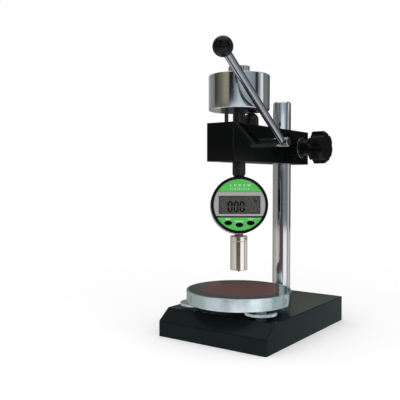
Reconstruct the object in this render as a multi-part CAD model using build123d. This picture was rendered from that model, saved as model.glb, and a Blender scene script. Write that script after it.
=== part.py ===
from build123d import *
import os
from math import cos, radians, sin, sqrt, tan

# Bench hardness tester: a small operating stand whose loaded spindle carries a digital hardness gauge.
# Millimetres, +Z up, front towards -Y. The origin is the middle of the base's underside.

# Base casting
BASE_WIDTH = 128.0
BASE_DEPTH = 180.0
BASE_HEIGHT = 27.5
FRONT_EDGE_HEIGHT = 15.5
FRONT_SLOPE_RUN = 16.0
BASE_WALL = 8.0
BASE_TOP_WALL = 9.0
BASE_CORNER_RADIUS = 2.0
BASE_EDGE_RADIUS = 0.9
RIB_THICKNESS = 6.0
RIB_FOOT_GAP = 4.0
BOSS_WALL = 5.0

# Column
COLUMN_DIAMETER = 21.0
COLUMN_Y = 60.0
COLUMN_RISE = 226.0
COLUMN_CHAMFER = 1.6
COLUMN_SEAT_DEPTH = 11.0
COLUMN_FLOOR = 4.0
COLUMN_BOSS_WALL = 9.0
COLUMN_BOLT_DIAMETER = 10.0
COLUMN_BOLT_HEAD_DIAMETER = 16.0
COLUMN_BOLT_HEAD_HEIGHT = 8.0
COLUMN_BOLT_GRIP = 20.0
COLUMN_BOLT_KEY = 8.0
WASHER_THICKNESS = 1.6
WASHER_DIAMETER = 24.0

# Levelling platform
PLATFORM_DIAMETER = 110.0
PLATFORM_THICKNESS = 13.0
PLATFORM_LIFT = 7.5
PLATFORM_RIM = 2.2
PLATFORM_CHAMFER = 0.7
GLASS_THICKNESS = 4.0
GLASS_SINK = 0.2
GLASS_EDGE = 0.3
STUD_DIAMETER = 6.0
STUD_CIRCLE_RADIUS = 46.0
STUD_ANGLES = {"right": -30.0, "rear": 90.0, "left": 210.0}
STUD_IN_PLATFORM = 7.0
STUD_IN_BASE = 12.0
NUT_DIAMETER = 32.0
NUT_THICKNESS = 3.2
NUT_LIFT = 2.8
NUT_HUB_DIAMETER = 12.0
NUT_EDGE = 0.4
RIM_SCREW_DIAMETER = 4.0
RIM_SCREW_LENGTH = 6.0
RIM_SCREW_ANGLES = (0.0, 120.0, 240.0)
RIM_SCREW_DROP = 6.6
RIM_SCREW_SINK = 0.4
RIM_SCREW_KEY = 2.0
RIM_SCREW_KEY_DEPTH = 2.0

# Arm
ARM_WIDTH = 32.0
ARM_HEIGHT = 39.0
ARM_LIFT = 153.5
ARM_FRONT_REACH = 131.0
ARM_BACK_REACH = 37.5
ARM_EDGE = 0.8
SLIT_WIDTH = 2.0
LINER_WALL = 1.6
SPINDLE_REACH = 95.0
GUIDE_ROD_REACH = 24.0
GUIDE_ROD_DIAMETER = 4.0
GUIDE_ROD_SEAT = 10.0
GUIDE_ROD_ENGAGED = 16.0

# Clamp at the back of the arm
CLAMP_BEHIND_COLUMN = 19.2
CLAMP_SCREW_DIAMETER = 8.0
CLAMP_SCREW_BLIND = 3.0
CLAMP_WASHER_DIAMETER = 24.0
CLAMP_WASHER_THICKNESS = 0.8
KNOB_HUB_DIAMETER = 18.6
KNOB_HUB_LENGTH = 12.9
KNOB_DIAMETER = 37.6
KNOB_LENGTH = 18.3
KNOB_LOBES = 6
KNOB_LOBE_TURN = 9.0
KNOB_FLUTE_RADIUS = 6.5
KNOB_FLUTE_DEPTH = 4.2
KNOB_BACK_RUN = 2.0
KNOB_BACK_DROP = 4.8
KNOB_FRONT_RUN = 3.9
KNOB_FRONT_DROP = 2.9
KNOB_INSERT_DEPTH = 3.0

# Spindle and weight
SPINDLE_DIAMETER = 13.0
SPINDLE_BUSH_WALL = 2.0
SPINDLE_BUSH_LENGTH = 15.0
WEIGHT_DIAMETER = 63.5
WEIGHT_HEIGHT = 36.0
WEIGHT_LIFT = 14.6
WEIGHT_EDGE = 1.0
WEIGHT_JOURNAL_DIAMETER = 10.0
JOURNAL_CHAMFER = 0.8
GUIDE_HOLE_SPARE = 1.5
SLEEVE_DIAMETER = 13.7
SLEEVE_LENGTH = 14.6
SLEEVE_TAPER = 2.6
SPIGOT_DIAMETER = 9.0
SPIGOT_LENGTH = 7.0
SLEEVE_SCREW_DIAMETER = 3.0
SLEEVE_SCREW_SINK = 0.2
TOP_NUT_DIAMETER = 22.5
TOP_NUT_HEIGHT = 9.4
TOP_NUT_NECK_DIAMETER = 17.0
TOP_NUT_NECK_HEIGHT = 3.0
TOP_NUT_EDGE = 0.6

# Lifting lever, its crank and the lifter
PIVOT_BELOW_TOP = 17.0
PIVOT_BEHIND_SPINDLE = 37.5
SHAFT_DIAMETER = 10.0
SHAFT_INNER_DIAMETER = 8.0
SHAFT_BUSH_WALL = 2.0
SHAFT_BLIND_WALL = 2.0
SHAFT_TAIL = 3.8
SHAFT_END_CHAMFER = 0.6
STROKE = 12.0
LEVER_TURN = 60.0
LEVER_LENGTH = 151.0
LEVER_RISE = 30.2
LEVER_SPLAY = 3.8
LEVER_TUCK = 0.75
ROD_DIAMETER = 8.0
ROD_TENON_DIAMETER = 5.0
ROD_TENON_SINK = 0.4
BALL_DIAMETER = 18.5
BALL_SEAT = 3.2
BALL_THREAD_DIAMETER = 6.0
BALL_FLAT_MARGIN = 0.4
CRANK_THICKNESS = 3.0
CRANK_HUB_DIAMETER = 15.0
CRANK_EYE_DIAMETER = 8.0
CRANK_PIN_DIAMETER = 3.0
ROLLER_DIAMETER = 5.0
ROLLER_LENGTH = 9.0
LIFTER_DIAMETER = 16.0
LIFTER_BUSH_WALL = 2.0
LIFTER_BUSH_LENGTH = 6.0
LIFTER_SHAFT_GAP = 0.8
LIFTER_END_WALL = 4.0
DOME_HEIGHT = 6.8
POCKET_CLEARANCE = 0.9
COVER_THICKNESS = 2.5
COVER_SIDE_MARGIN = 2.5
COVER_END_MARGIN = 6.0
COVER_SCREW_DIAMETER = 2.5
COVER_SCREW_DEPTH = 6.0
COVER_HEAD_HEIGHT = 1.4

# Gauge
FACE_TURN = 35.0
HEAD_BELOW_ARM = 44.0
BEZEL_DIAMETER = 59.0
BEZEL_LIP = 2.7
BEZEL_DEPTH = 6.0
BEZEL_EDGE = 0.8
CASE_DIAMETER = 57.2
CASE_WALL = 2.2
CASE_DEPTH = 18.9
CASE_BOSS_WALL = 2.5
CASE_BOSS_RISE = 2.0
BACK_COVER_THICKNESS = 2.5
BACK_COVER_EDGE = 0.8
FACE_FRONT = 13.0
FACE_SINK = 0.6
FACE_PLATE_THICKNESS = 1.2
FACE_LEDGE = 0.7
WINDOW_WIDTH = 43.0
WINDOW_HEIGHT = 18.8
WINDOW_RADIUS = 1.0
WINDOW_SINK = 0.15
DISPLAY_BORDER = 1.5
DISPLAY_THICKNESS = 2.4
BOARD_SETBACK = 7.0
BOARD_THICKNESS = 1.6
BOARD_HEIGHT = 48.0
BUTTON_LENGTH = 7.8
BUTTON_HEIGHT = 4.4
BUTTON_PROUD = 1.0
BUTTON_TRAVEL = 0.5
BUTTON_FLANGE = 0.6
BUTTON_FLANGE_THICKNESS = 0.8
BUTTON_STEM_DIAMETER = 2.4
BUTTON_EDGE = 0.5
BUTTON_PLACES = {"left": (-11.5, -18.6), "middle": (0.0, -20.6), "right": (11.5, -18.6)}
BATTERY_DIAMETER = 20.0
BATTERY_THICKNESS = 3.2
BATTERY_HEIGHT = 6.0
BATTERY_EDGE = 0.5
HOLDER_WALL = 1.3
HOLDER_POST_DIAMETER = 3.2
HOLDER_POST_REACH = 7.0
COIL_WIDTH = 12.0
COIL_HEIGHT = 14.0
COIL_DEPTH = 8.6
COIL_DROP = 21.0
FASTENER_CIRCLE_RADIUS = 24.6
FASTENER_DIAMETER = 2.5
FASTENER_HEAD_HEIGHT = 1.2
FASTENER_DEPTH = 6.0
FASTENER_BOSS_DIAMETER = 4.8
FASTENER_BOSS_LENGTH = 7.0
STEM_DIAMETER = 8.0
STEM_IN_SLEEVE = 7.0
NECK_DIAMETER = 9.0
NECK_LENGTH = 4.4
NECK_SUNK = 1.2
NECK_THREAD_DIAMETER = 7.0
NECK_THREAD_LENGTH = 5.0
FOOT_DIAMETER = 18.0
FOOT_LENGTH = 35.6
COLLAR_LENGTH = 5.2
COLLAR_GROOVE = 0.4
FOOT_WALL = 3.0
FOOT_FLOOR = 5.0
FOOT_EDGE = 0.5
FOOT_SCREW_DIAMETER = 2.5
FOOT_SCREW_DROP = 2.4
FOOT_SCREW_ANGLES = (-37.0, 143.0)
INDENTER_DIAMETER = 3.0
INDENTER_REACH = 2.4
INDENTER_CONE_ANGLE = 30.0
INDENTER_TIP_DIAMETER = 0.2
INDENTER_COLLAR_DIAMETER = 10.0
INDENTER_COLLAR_THICKNESS = 2.4
INDENTER_TRAVEL = 2.5
SPRING_WIRE = 1.0
SPRING_DIAMETER = 8.4
SPRING_TURNS = 7.0

# Clearances
SEAT_FIT = 0.02
RUNNING_FIT = 0.05
BODY_GAP = 0.3
LOOSE_FIT = 0.25
HEAD_SINK = 0.1
OVERRUN = 1.0

# Places worked out from the sizes above
COLUMN_RADIUS = COLUMN_DIAMETER / 2
COLUMN_TOP = BASE_HEIGHT + COLUMN_RISE
COLUMN_BOTTOM = BASE_HEIGHT - COLUMN_SEAT_DEPTH
COLUMN_BOSS_BOTTOM = COLUMN_BOTTOM - COLUMN_FLOOR
SPINDLE_Y = COLUMN_Y - SPINDLE_REACH
PLATFORM_BOTTOM = BASE_HEIGHT + PLATFORM_LIFT
PLATFORM_TOP = PLATFORM_BOTTOM + PLATFORM_THICKNESS
NUT_BOTTOM = BASE_HEIGHT + NUT_LIFT
ARM_BOTTOM = BASE_HEIGHT + ARM_LIFT
ARM_TOP = ARM_BOTTOM + ARM_HEIGHT
ARM_FRONT = COLUMN_Y - ARM_FRONT_REACH
ARM_BACK = COLUMN_Y + ARM_BACK_REACH
ARM_MIDDLE = (ARM_BOTTOM + ARM_TOP) / 2
HALF_ARM = ARM_WIDTH / 2
LINER_RADIUS = COLUMN_RADIUS + LINER_WALL
CLAMP_Y = COLUMN_Y + CLAMP_BEHIND_COLUMN
KNOB_START = HALF_ARM + CLAMP_WASHER_THICKNESS + BODY_GAP
KNOB_HEAD_START = KNOB_START + KNOB_HUB_LENGTH
KNOB_END = KNOB_HEAD_START + KNOB_LENGTH
SPINDLE_RADIUS = SPINDLE_DIAMETER / 2
SPINDLE_BUSH_RADIUS = SPINDLE_RADIUS + SPINDLE_BUSH_WALL
WEIGHT_BOTTOM = ARM_TOP + WEIGHT_LIFT
WEIGHT_TOP = WEIGHT_BOTTOM + WEIGHT_HEIGHT
TOP_NUT_BOTTOM = WEIGHT_TOP + BODY_GAP
TOP_NUT_TOP = TOP_NUT_BOTTOM + TOP_NUT_HEIGHT
SLEEVE_TOP = ARM_BOTTOM - BODY_GAP
SLEEVE_BOTTOM = SLEEVE_TOP - SLEEVE_LENGTH
SPIGOT_BOTTOM = SLEEVE_TOP - SPIGOT_LENGTH
GUIDE_ROD_Y = SPINDLE_Y - GUIDE_ROD_REACH
PIVOT_Y = SPINDLE_Y + PIVOT_BEHIND_SPINDLE
PIVOT_Z = ARM_TOP - PIVOT_BELOW_TOP
CRANK_RADIUS = STROKE / (2 * sin(radians(LEVER_TURN / 2)))
CRANK_NEAR = CRANK_RADIUS * cos(radians(LEVER_TURN / 2))
PIN_Y = PIVOT_Y - CRANK_NEAR
PIN_Z = PIVOT_Z + STROKE / 2
LIFTER_RADIUS = LIFTER_DIAMETER / 2
LIFTER_Y = PIVOT_Y - SHAFT_INNER_DIAMETER / 2 - LIFTER_SHAFT_GAP - LIFTER_RADIUS
LIFTER_TOP = WEIGHT_BOTTOM - BODY_GAP
SLOT_TOP = PIN_Z + ROLLER_DIAMETER / 2 + LOOSE_FIT
SLOT_BOTTOM = PIN_Z - ROLLER_DIAMETER / 2 - LOOSE_FIT
LIFTER_BOTTOM = SLOT_BOTTOM - LIFTER_END_WALL
CRANK_INNER = LIFTER_RADIUS + BODY_GAP
CRANK_OUTER = CRANK_INNER + CRANK_THICKNESS
POCKET_RIGHT = CRANK_OUTER + BODY_GAP
POCKET_LEFT = -LIFTER_RADIUS - POCKET_CLEARANCE
POCKET_FRONT = LIFTER_Y - LIFTER_RADIUS - POCKET_CLEARANCE
POCKET_BACK = PIVOT_Y + CRANK_HUB_DIAMETER / 2 + POCKET_CLEARANCE
POCKET_TOP = ARM_TOP - LIFTER_BUSH_LENGTH
WEIGHT_RADIUS = WEIGHT_DIAMETER / 2
ROD_RADIUS = ROD_DIAMETER / 2
ROD_X = WEIGHT_RADIUS - LEVER_TUCK
SHAFT_END = ROD_X + ROD_RADIUS + SHAFT_TAIL
COVER_SCREW_SEAT = ARM_BOTTOM + HEAD_SINK + COVER_HEAD_HEIGHT
HEAD_Z = ARM_BOTTOM - HEAD_BELOW_ARM
BEZEL_RADIUS = BEZEL_DIAMETER / 2
CASE_RADIUS = CASE_DIAMETER / 2
CASE_BORE = CASE_RADIUS - CASE_WALL
STEM_BOTTOM = HEAD_Z + CASE_BORE - CASE_BOSS_RISE
FACE_RADIUS = BEZEL_RADIUS - BEZEL_LIP
PLATE_FRONT = -FACE_FRONT + FACE_SINK
PLATE_BACK = PLATE_FRONT + FACE_PLATE_THICKNESS
LEDGE_BACK = -FACE_FRONT + BEZEL_LIP + FACE_SINK + FACE_LEDGE
CASE_FRONT = LEDGE_BACK + SEAT_FIT
CASE_BACK = CASE_FRONT + CASE_DEPTH
BOARD_FRONT = -FACE_FRONT + BOARD_SETBACK
BOARD_BACK = BOARD_FRONT + BOARD_THICKNESS
FASTENER_SEAT = CASE_BACK + BACK_COVER_THICKNESS - HEAD_SINK - FASTENER_HEAD_HEIGHT
NECK_TOP = HEAD_Z - CASE_RADIUS + NECK_SUNK
NECK_BOTTOM = NECK_TOP - NECK_LENGTH - NECK_SUNK
FOOT_TOP = NECK_BOTTOM
COLLAR_BOTTOM = FOOT_TOP - COLLAR_LENGTH
FOOT_BOTTOM = FOOT_TOP - FOOT_LENGTH
FOOT_BORE = FOOT_DIAMETER / 2 - FOOT_WALL
CAVITY_BOTTOM = FOOT_BOTTOM + FOOT_FLOOR
INDENTER_TIP = FOOT_BOTTOM - INDENTER_REACH
INDENTER_COLLAR_BOTTOM = CAVITY_BOTTOM + BODY_GAP
INDENTER_COLLAR_TOP = INDENTER_COLLAR_BOTTOM + INDENTER_COLLAR_THICKNESS
SPRING_TOP = COLLAR_BOTTOM - SEAT_FIT
SPRING_BOTTOM = INDENTER_COLLAR_TOP + BODY_GAP
COIL_BOTTOM = HEAD_Z - COIL_DROP
INDENTER_TOP = COIL_BOTTOM + COIL_HEIGHT - INDENTER_TRAVEL - BODY_GAP


def rod_z(radius, bottom, top, x=0.0, y=0.0):
    """A round bar standing upright."""
    bar = Cylinder(radius, top - bottom, align=(Align.CENTER, Align.CENTER, Align.MIN))
    return Pos(x, y, bottom) * bar


def rod_x(radius, start, end, y, z):
    """A round bar lying across the arm."""
    bar = Cylinder(radius, end - start, align=(Align.CENTER, Align.CENTER, Align.MIN))
    return Pos(start, y, z) * Rot(0, 90, 0) * bar


def block(x_range, y_range, z_range):
    """A rectangular block between two corners."""
    size = [high - low for low, high in (x_range, y_range, z_range)]
    middle = [(low + high) / 2 for low, high in (x_range, y_range, z_range)]
    return Pos(*middle) * Box(*size)


def turned(profile, x=0.0, y=0.0):
    """A turned piece from a closed outline of radius and height."""
    outline = make_face(Plane.XZ * Polyline(*profile, close=True))
    return Pos(x, y, 0) * revolve(outline, Axis.Z)


def around(radius, angle):
    """The place at an angle on a circle round the spindle's axis."""
    return radius * cos(radians(angle)), SPINDLE_Y + radius * sin(radians(angle))


def stud_places():
    """The three studs' places by name."""
    return {name: around(STUD_CIRCLE_RADIUS, angle) for name, angle in STUD_ANGLES.items()}


def base_outline(wall, top_wall):
    """Side view of the base, drawn in by a wall at its ends and a top wall under its top and slope."""
    front = -BASE_DEPTH / 2 + wall
    back = BASE_DEPTH / 2 - wall
    top = BASE_HEIGHT - top_wall
    slope = (BASE_HEIGHT - FRONT_EDGE_HEIGHT) / FRONT_SLOPE_RUN
    drop = top_wall * sqrt(1 + slope ** 2)
    lip = FRONT_EDGE_HEIGHT + slope * wall - drop
    ramp = front + (top - lip) / slope
    return [(front, 0), (front, lip), (ramp, top), (back, top), (back, 0)]


def base_shell():
    """Outer form of the base with its edges eased."""
    outline = make_face(Plane.YZ * Polyline(*base_outline(0, 0), close=True))
    body = extrude(outline, BASE_WIDTH / 2, both=True)
    corners = body.edges().filter_by(Axis.Z)
    body = fillet(corners, BASE_CORNER_RADIUS)
    level = body.edges().filter_by(Axis.Z, reverse=True)
    upper = [edge for edge in level if edge.center().Z > FRONT_EDGE_HEIGHT / 2]
    return fillet(upper, BASE_EDGE_RADIUS)


def base_ribs():
    """Two crossed ribs that stiffen the top from below, short of the table."""
    reach_x = BASE_WIDTH / 2 - BASE_WALL
    reach_y = BASE_DEPTH / 2 - BASE_WALL
    height = (RIB_FOOT_GAP, BASE_HEIGHT - BASE_TOP_WALL)
    along = block((-RIB_THICKNESS / 2, RIB_THICKNESS / 2), (-reach_y, reach_y), height)
    rib_y = (SPINDLE_Y - RIB_THICKNESS / 2, SPINDLE_Y + RIB_THICKNESS / 2)
    across = block((-reach_x, reach_x), rib_y, height)
    return along + across


def base_casting():
    """Cast base: sloped front, hollow underneath, with bosses for the column and the studs."""
    hollow_outline = make_face(Plane.YZ * Polyline(*base_outline(BASE_WALL, BASE_TOP_WALL), close=True))
    hollow = extrude(hollow_outline, BASE_WIDTH / 2 - BASE_WALL, both=True)
    ribs = base_ribs() & hollow
    column_boss_radius = COLUMN_RADIUS + COLUMN_BOSS_WALL
    bosses = rod_z(column_boss_radius, COLUMN_BOSS_BOTTOM, BASE_HEIGHT - BASE_TOP_WALL, 0, COLUMN_Y)
    stud_boss_bottom = BASE_HEIGHT - STUD_IN_BASE - BOSS_WALL
    for x, y in stud_places().values():
        bosses += rod_z(STUD_DIAMETER / 2 + BOSS_WALL, stud_boss_bottom, BASE_HEIGHT - BASE_TOP_WALL, x, y)
    body = base_shell() - hollow + ribs + bosses
    access = COLUMN_BOLT_HEAD_DIAMETER / 2 + BOSS_WALL
    body -= rod_z(access, 0, COLUMN_BOSS_BOTTOM, 0, COLUMN_Y)
    body -= rod_z(COLUMN_RADIUS + SEAT_FIT, COLUMN_BOTTOM, BASE_HEIGHT, 0, COLUMN_Y)
    body -= rod_z(COLUMN_BOLT_DIAMETER / 2 + LOOSE_FIT, 0, BASE_HEIGHT, 0, COLUMN_Y)
    for x, y in stud_places().values():
        body -= rod_z(STUD_DIAMETER / 2 + SEAT_FIT, BASE_HEIGHT - STUD_IN_BASE, BASE_HEIGHT, x, y)
    return body


def column():
    """Plated bar with a chamfered top and a blind hole for its bolt."""
    top_radius = COLUMN_RADIUS - COLUMN_CHAMFER
    outline = [(0, COLUMN_BOTTOM), (COLUMN_RADIUS, COLUMN_BOTTOM),
               (COLUMN_RADIUS, COLUMN_TOP - COLUMN_CHAMFER), (top_radius, COLUMN_TOP), (0, COLUMN_TOP)]
    bar = turned(outline, 0, COLUMN_Y)
    hole_top = COLUMN_BOTTOM + COLUMN_BOLT_GRIP + LOOSE_FIT
    return bar - rod_z(COLUMN_BOLT_DIAMETER / 2 + SEAT_FIT, COLUMN_BOTTOM, hole_top, 0, COLUMN_Y)


def column_washer():
    """Washer between the bolt head and the boss."""
    top = COLUMN_BOSS_BOTTOM
    bottom = top - WASHER_THICKNESS
    disc = rod_z(WASHER_DIAMETER / 2, bottom, top, 0, COLUMN_Y)
    return disc - rod_z(COLUMN_BOLT_DIAMETER / 2 + LOOSE_FIT, bottom, top, 0, COLUMN_Y)


def column_bolt():
    """Socket bolt that pulls the column into its seat."""
    head_top = COLUMN_BOSS_BOTTOM - WASHER_THICKNESS
    head_bottom = head_top - COLUMN_BOLT_HEAD_HEIGHT
    head = rod_z(COLUMN_BOLT_HEAD_DIAMETER / 2, head_bottom, head_top, 0, COLUMN_Y)
    shank = rod_z(COLUMN_BOLT_DIAMETER / 2, head_top, COLUMN_BOTTOM + COLUMN_BOLT_GRIP, 0, COLUMN_Y)
    socket = RegularPolygon(COLUMN_BOLT_KEY / 2, 6, major_radius=False)
    depth = COLUMN_BOLT_HEAD_HEIGHT / 2
    return head + shank - Pos(0, COLUMN_Y, head_bottom) * extrude(socket, depth)


def levelling_studs():
    """Three studs from the base up into the platform."""
    bottom = BASE_HEIGHT - STUD_IN_BASE
    top = PLATFORM_BOTTOM + STUD_IN_PLATFORM - LOOSE_FIT
    return [rod_z(STUD_DIAMETER / 2, bottom, top, x, y) for x, y in stud_places().values()]


def platform_disc():
    """Plated disc with a shallow seat for the glass and blind holes for the studs."""
    radius = PLATFORM_DIAMETER / 2
    seat_radius = radius - PLATFORM_RIM
    seat = PLATFORM_TOP - GLASS_SINK - GLASS_THICKNESS
    edge = PLATFORM_CHAMFER
    outline = [(0, PLATFORM_BOTTOM), (radius - edge, PLATFORM_BOTTOM), (radius, PLATFORM_BOTTOM + edge),
               (radius, PLATFORM_TOP - edge), (radius - edge, PLATFORM_TOP), (seat_radius, PLATFORM_TOP),
               (seat_radius, seat), (0, seat)]
    disc = turned(outline, 0, SPINDLE_Y)
    for x, y in stud_places().values():
        stud_hole = STUD_DIAMETER / 2 + SEAT_FIT
        disc -= rod_z(stud_hole, PLATFORM_BOTTOM, PLATFORM_BOTTOM + STUD_IN_PLATFORM, x, y)
    inner = radius - RIM_SCREW_SINK - RIM_SCREW_LENGTH - LOOSE_FIT
    for angle in RIM_SCREW_ANGLES:
        disc -= rim_bar(RIM_SCREW_DIAMETER / 2 + SEAT_FIT, inner, radius + OVERRUN, angle)
    return disc


def rim_bar(radius, inner, outer, angle):
    """A bar lying radially in the platform's rim."""
    x, y = around(inner, angle)
    bar = Cylinder(radius, outer - inner, align=(Align.CENTER, Align.CENTER, Align.MIN))
    return Pos(x, y, PLATFORM_TOP - RIM_SCREW_DROP) * Rot(0, 0, angle) * Rot(0, 90, 0) * bar


def rim_screws():
    """Set screws in the platform's rim, with hexagon sockets."""
    outer = PLATFORM_DIAMETER / 2 - RIM_SCREW_SINK
    screws = []
    for angle in RIM_SCREW_ANGLES:
        screw = rim_bar(RIM_SCREW_DIAMETER / 2, outer - RIM_SCREW_LENGTH, outer, angle)
        x, y = around(outer, angle)
        key = RegularPolygon(RIM_SCREW_KEY / 2, 6, major_radius=False)
        place = Pos(x, y, PLATFORM_TOP - RIM_SCREW_DROP) * Rot(0, 0, angle) * Rot(0, 90, 0)
        screws.append(screw - place * extrude(key, -RIM_SCREW_KEY_DEPTH))
    return screws


def platform_glass():
    """Glass plate let into the platform."""
    radius = PLATFORM_DIAMETER / 2 - PLATFORM_RIM - LOOSE_FIT
    top = PLATFORM_TOP - GLASS_SINK
    outline = [(0, top - GLASS_THICKNESS), (radius, top - GLASS_THICKNESS), (radius, top - GLASS_EDGE),
               (radius - GLASS_EDGE, top), (0, top)]
    return turned(outline, 0, SPINDLE_Y)


def levelling_nut(name):
    """Thin hand nut with a hub above and below, on its stud between the base and the platform."""
    x, y = stud_places()[name]
    radius = NUT_DIAMETER / 2
    hub = NUT_HUB_DIAMETER / 2
    bore = STUD_DIAMETER / 2 + RUNNING_FIT
    top = NUT_BOTTOM + NUT_THICKNESS
    ease = NUT_EDGE
    outline = [(bore, BASE_HEIGHT + BODY_GAP), (hub, BASE_HEIGHT + BODY_GAP), (hub, NUT_BOTTOM),
               (radius - ease, NUT_BOTTOM), (radius, NUT_BOTTOM + ease), (radius, top - ease),
               (radius - ease, top), (hub, top), (hub, PLATFORM_BOTTOM - BODY_GAP),
               (bore, PLATFORM_BOTTOM - BODY_GAP)]
    return turned(outline, x, y)


def column_liner():
    """Split liner between the column and the arm, open at the back."""
    tube = rod_z(LINER_RADIUS, ARM_BOTTOM, ARM_TOP, 0, COLUMN_Y)
    tube -= rod_z(COLUMN_RADIUS + RUNNING_FIT, ARM_BOTTOM, ARM_TOP, 0, COLUMN_Y)
    return tube - clamp_slit(COLUMN_Y + LINER_RADIUS + OVERRUN)


def clamp_slit(back):
    """The slit that runs back from the column's axis."""
    return block((-SLIT_WIDTH / 2, SLIT_WIDTH / 2), (COLUMN_Y, back), (ARM_BOTTOM, ARM_TOP))


def cover_seat(inset):
    """Outline of the recess for the cover plate, drawn in by an inset."""
    return ((POCKET_LEFT - COVER_SIDE_MARGIN + inset, POCKET_RIGHT + COVER_SIDE_MARGIN - inset),
            (POCKET_FRONT - COVER_END_MARGIN + inset, POCKET_BACK + COVER_END_MARGIN - inset))


def cover_screw_places():
    """Places of the cover's screws, one in each corner."""
    (left, right), (front, back) = cover_seat(COVER_END_MARGIN / 2)
    return [(x, y) for x in (left, right) for y in (front, back)]


def arm_block():
    """Milled arm: column bore with its clamping slit, spindle bore, and the pocket for the lifting crank."""
    body = block((-HALF_ARM, HALF_ARM), (ARM_FRONT, ARM_BACK), (ARM_BOTTOM, ARM_TOP))
    body = chamfer(body.edges(), ARM_EDGE)
    body -= rod_z(LINER_RADIUS + RUNNING_FIT, ARM_BOTTOM, ARM_TOP, 0, COLUMN_Y)
    body -= clamp_slit(ARM_BACK)
    body -= rod_z(SPINDLE_BUSH_RADIUS + SEAT_FIT, ARM_BOTTOM, ARM_TOP, 0, SPINDLE_Y)
    body -= rod_z(GUIDE_ROD_DIAMETER / 2 + SEAT_FIT, ARM_TOP - GUIDE_ROD_SEAT, ARM_TOP, 0, GUIDE_ROD_Y)
    clamp_hole = CLAMP_SCREW_DIAMETER / 2 + LOOSE_FIT
    body -= rod_x(clamp_hole, -HALF_ARM + CLAMP_SCREW_BLIND, HALF_ARM, CLAMP_Y, ARM_MIDDLE)
    body -= block((POCKET_LEFT, POCKET_RIGHT), (POCKET_FRONT, POCKET_BACK), (ARM_BOTTOM, POCKET_TOP))
    seat_x, seat_y = cover_seat(0)
    body -= block(seat_x, seat_y, (ARM_BOTTOM, ARM_BOTTOM + COVER_THICKNESS))
    for x, y in cover_screw_places():
        deep = ARM_BOTTOM + COVER_THICKNESS + COVER_SCREW_DEPTH
        body -= rod_z(COVER_SCREW_DIAMETER / 2 + SEAT_FIT, ARM_BOTTOM, deep, x, y)
    lifter_hole = LIFTER_RADIUS + LIFTER_BUSH_WALL + SEAT_FIT
    body -= rod_z(lifter_hole, POCKET_TOP, ARM_TOP, 0, LIFTER_Y)
    outer_hole = SHAFT_DIAMETER / 2 + SHAFT_BUSH_WALL + SEAT_FIT
    body -= rod_x(outer_hole, POCKET_RIGHT, HALF_ARM, PIVOT_Y, PIVOT_Z)
    inner_hole = SHAFT_INNER_DIAMETER / 2 + SHAFT_BUSH_WALL + SEAT_FIT
    body -= rod_x(inner_hole, -HALF_ARM + SHAFT_BLIND_WALL, POCKET_LEFT, PIVOT_Y, PIVOT_Z)
    return body


def arm_cover():
    """Plate that closes the crank pocket from below."""
    seat_x, seat_y = cover_seat(LOOSE_FIT)
    plate = block(seat_x, seat_y, (ARM_BOTTOM, ARM_BOTTOM + COVER_THICKNESS))
    for x, y in cover_screw_places():
        plate -= rod_z(COVER_SCREW_DIAMETER / 2 + LOOSE_FIT, ARM_BOTTOM, ARM_BOTTOM + COVER_THICKNESS, x, y)
        plate -= rod_z(COVER_SCREW_DIAMETER, ARM_BOTTOM, COVER_SCREW_SEAT, x, y)
    return plate


def cover_screws():
    """Sunk screws of the cover plate."""
    deep = ARM_BOTTOM + COVER_THICKNESS + COVER_SCREW_DEPTH - LOOSE_FIT
    screws = []
    for x, y in cover_screw_places():
        head = rod_z(COVER_SCREW_DIAMETER - SEAT_FIT, ARM_BOTTOM + HEAD_SINK, COVER_SCREW_SEAT, x, y)
        screws.append(head + rod_z(COVER_SCREW_DIAMETER / 2, COVER_SCREW_SEAT, deep, x, y))
    return screws


def plain_bush(inner, wall, low, high, x=0.0, y=0.0):
    """A plain upright bush."""
    return rod_z(inner + wall, low, high, x, y) - rod_z(inner + RUNNING_FIT, low, high, x, y)


def spindle_bush(low):
    """Bronze bush in which the spindle slides."""
    return plain_bush(SPINDLE_RADIUS, SPINDLE_BUSH_WALL, low, low + SPINDLE_BUSH_LENGTH, 0, SPINDLE_Y)


def lifter_bush():
    """Bush in which the lifter slides."""
    return plain_bush(LIFTER_RADIUS, LIFTER_BUSH_WALL, POCKET_TOP, ARM_TOP, 0, LIFTER_Y)


def shaft_bush(radius, start, end):
    """Bush in which the lever's cross shaft turns."""
    outer = rod_x(radius + SHAFT_BUSH_WALL, start, end, PIVOT_Y, PIVOT_Z)
    return outer - rod_x(radius + RUNNING_FIT, start, end, PIVOT_Y, PIVOT_Z)


def guide_rod():
    """Thin rod that keeps the weight from turning."""
    bottom = ARM_TOP - GUIDE_ROD_SEAT
    top = WEIGHT_BOTTOM + GUIDE_ROD_ENGAGED
    return rod_z(GUIDE_ROD_DIAMETER / 2, bottom, top, 0, GUIDE_ROD_Y)


def clamp_washer():
    """Washer under the clamp knob."""
    end = HALF_ARM + CLAMP_WASHER_THICKNESS
    disc = rod_x(CLAMP_WASHER_DIAMETER / 2, HALF_ARM, end, CLAMP_Y, ARM_MIDDLE)
    return disc - rod_x(CLAMP_SCREW_DIAMETER / 2 + LOOSE_FIT, HALF_ARM, end, CLAMP_Y, ARM_MIDDLE)


def clamp_screw():
    """Screw that pulls the two halves of the clamp together."""
    start = -HALF_ARM + CLAMP_SCREW_BLIND + BODY_GAP
    return rod_x(CLAMP_SCREW_DIAMETER / 2, start, KNOB_END - KNOB_INSERT_DEPTH, CLAMP_Y, ARM_MIDDLE)


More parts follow.
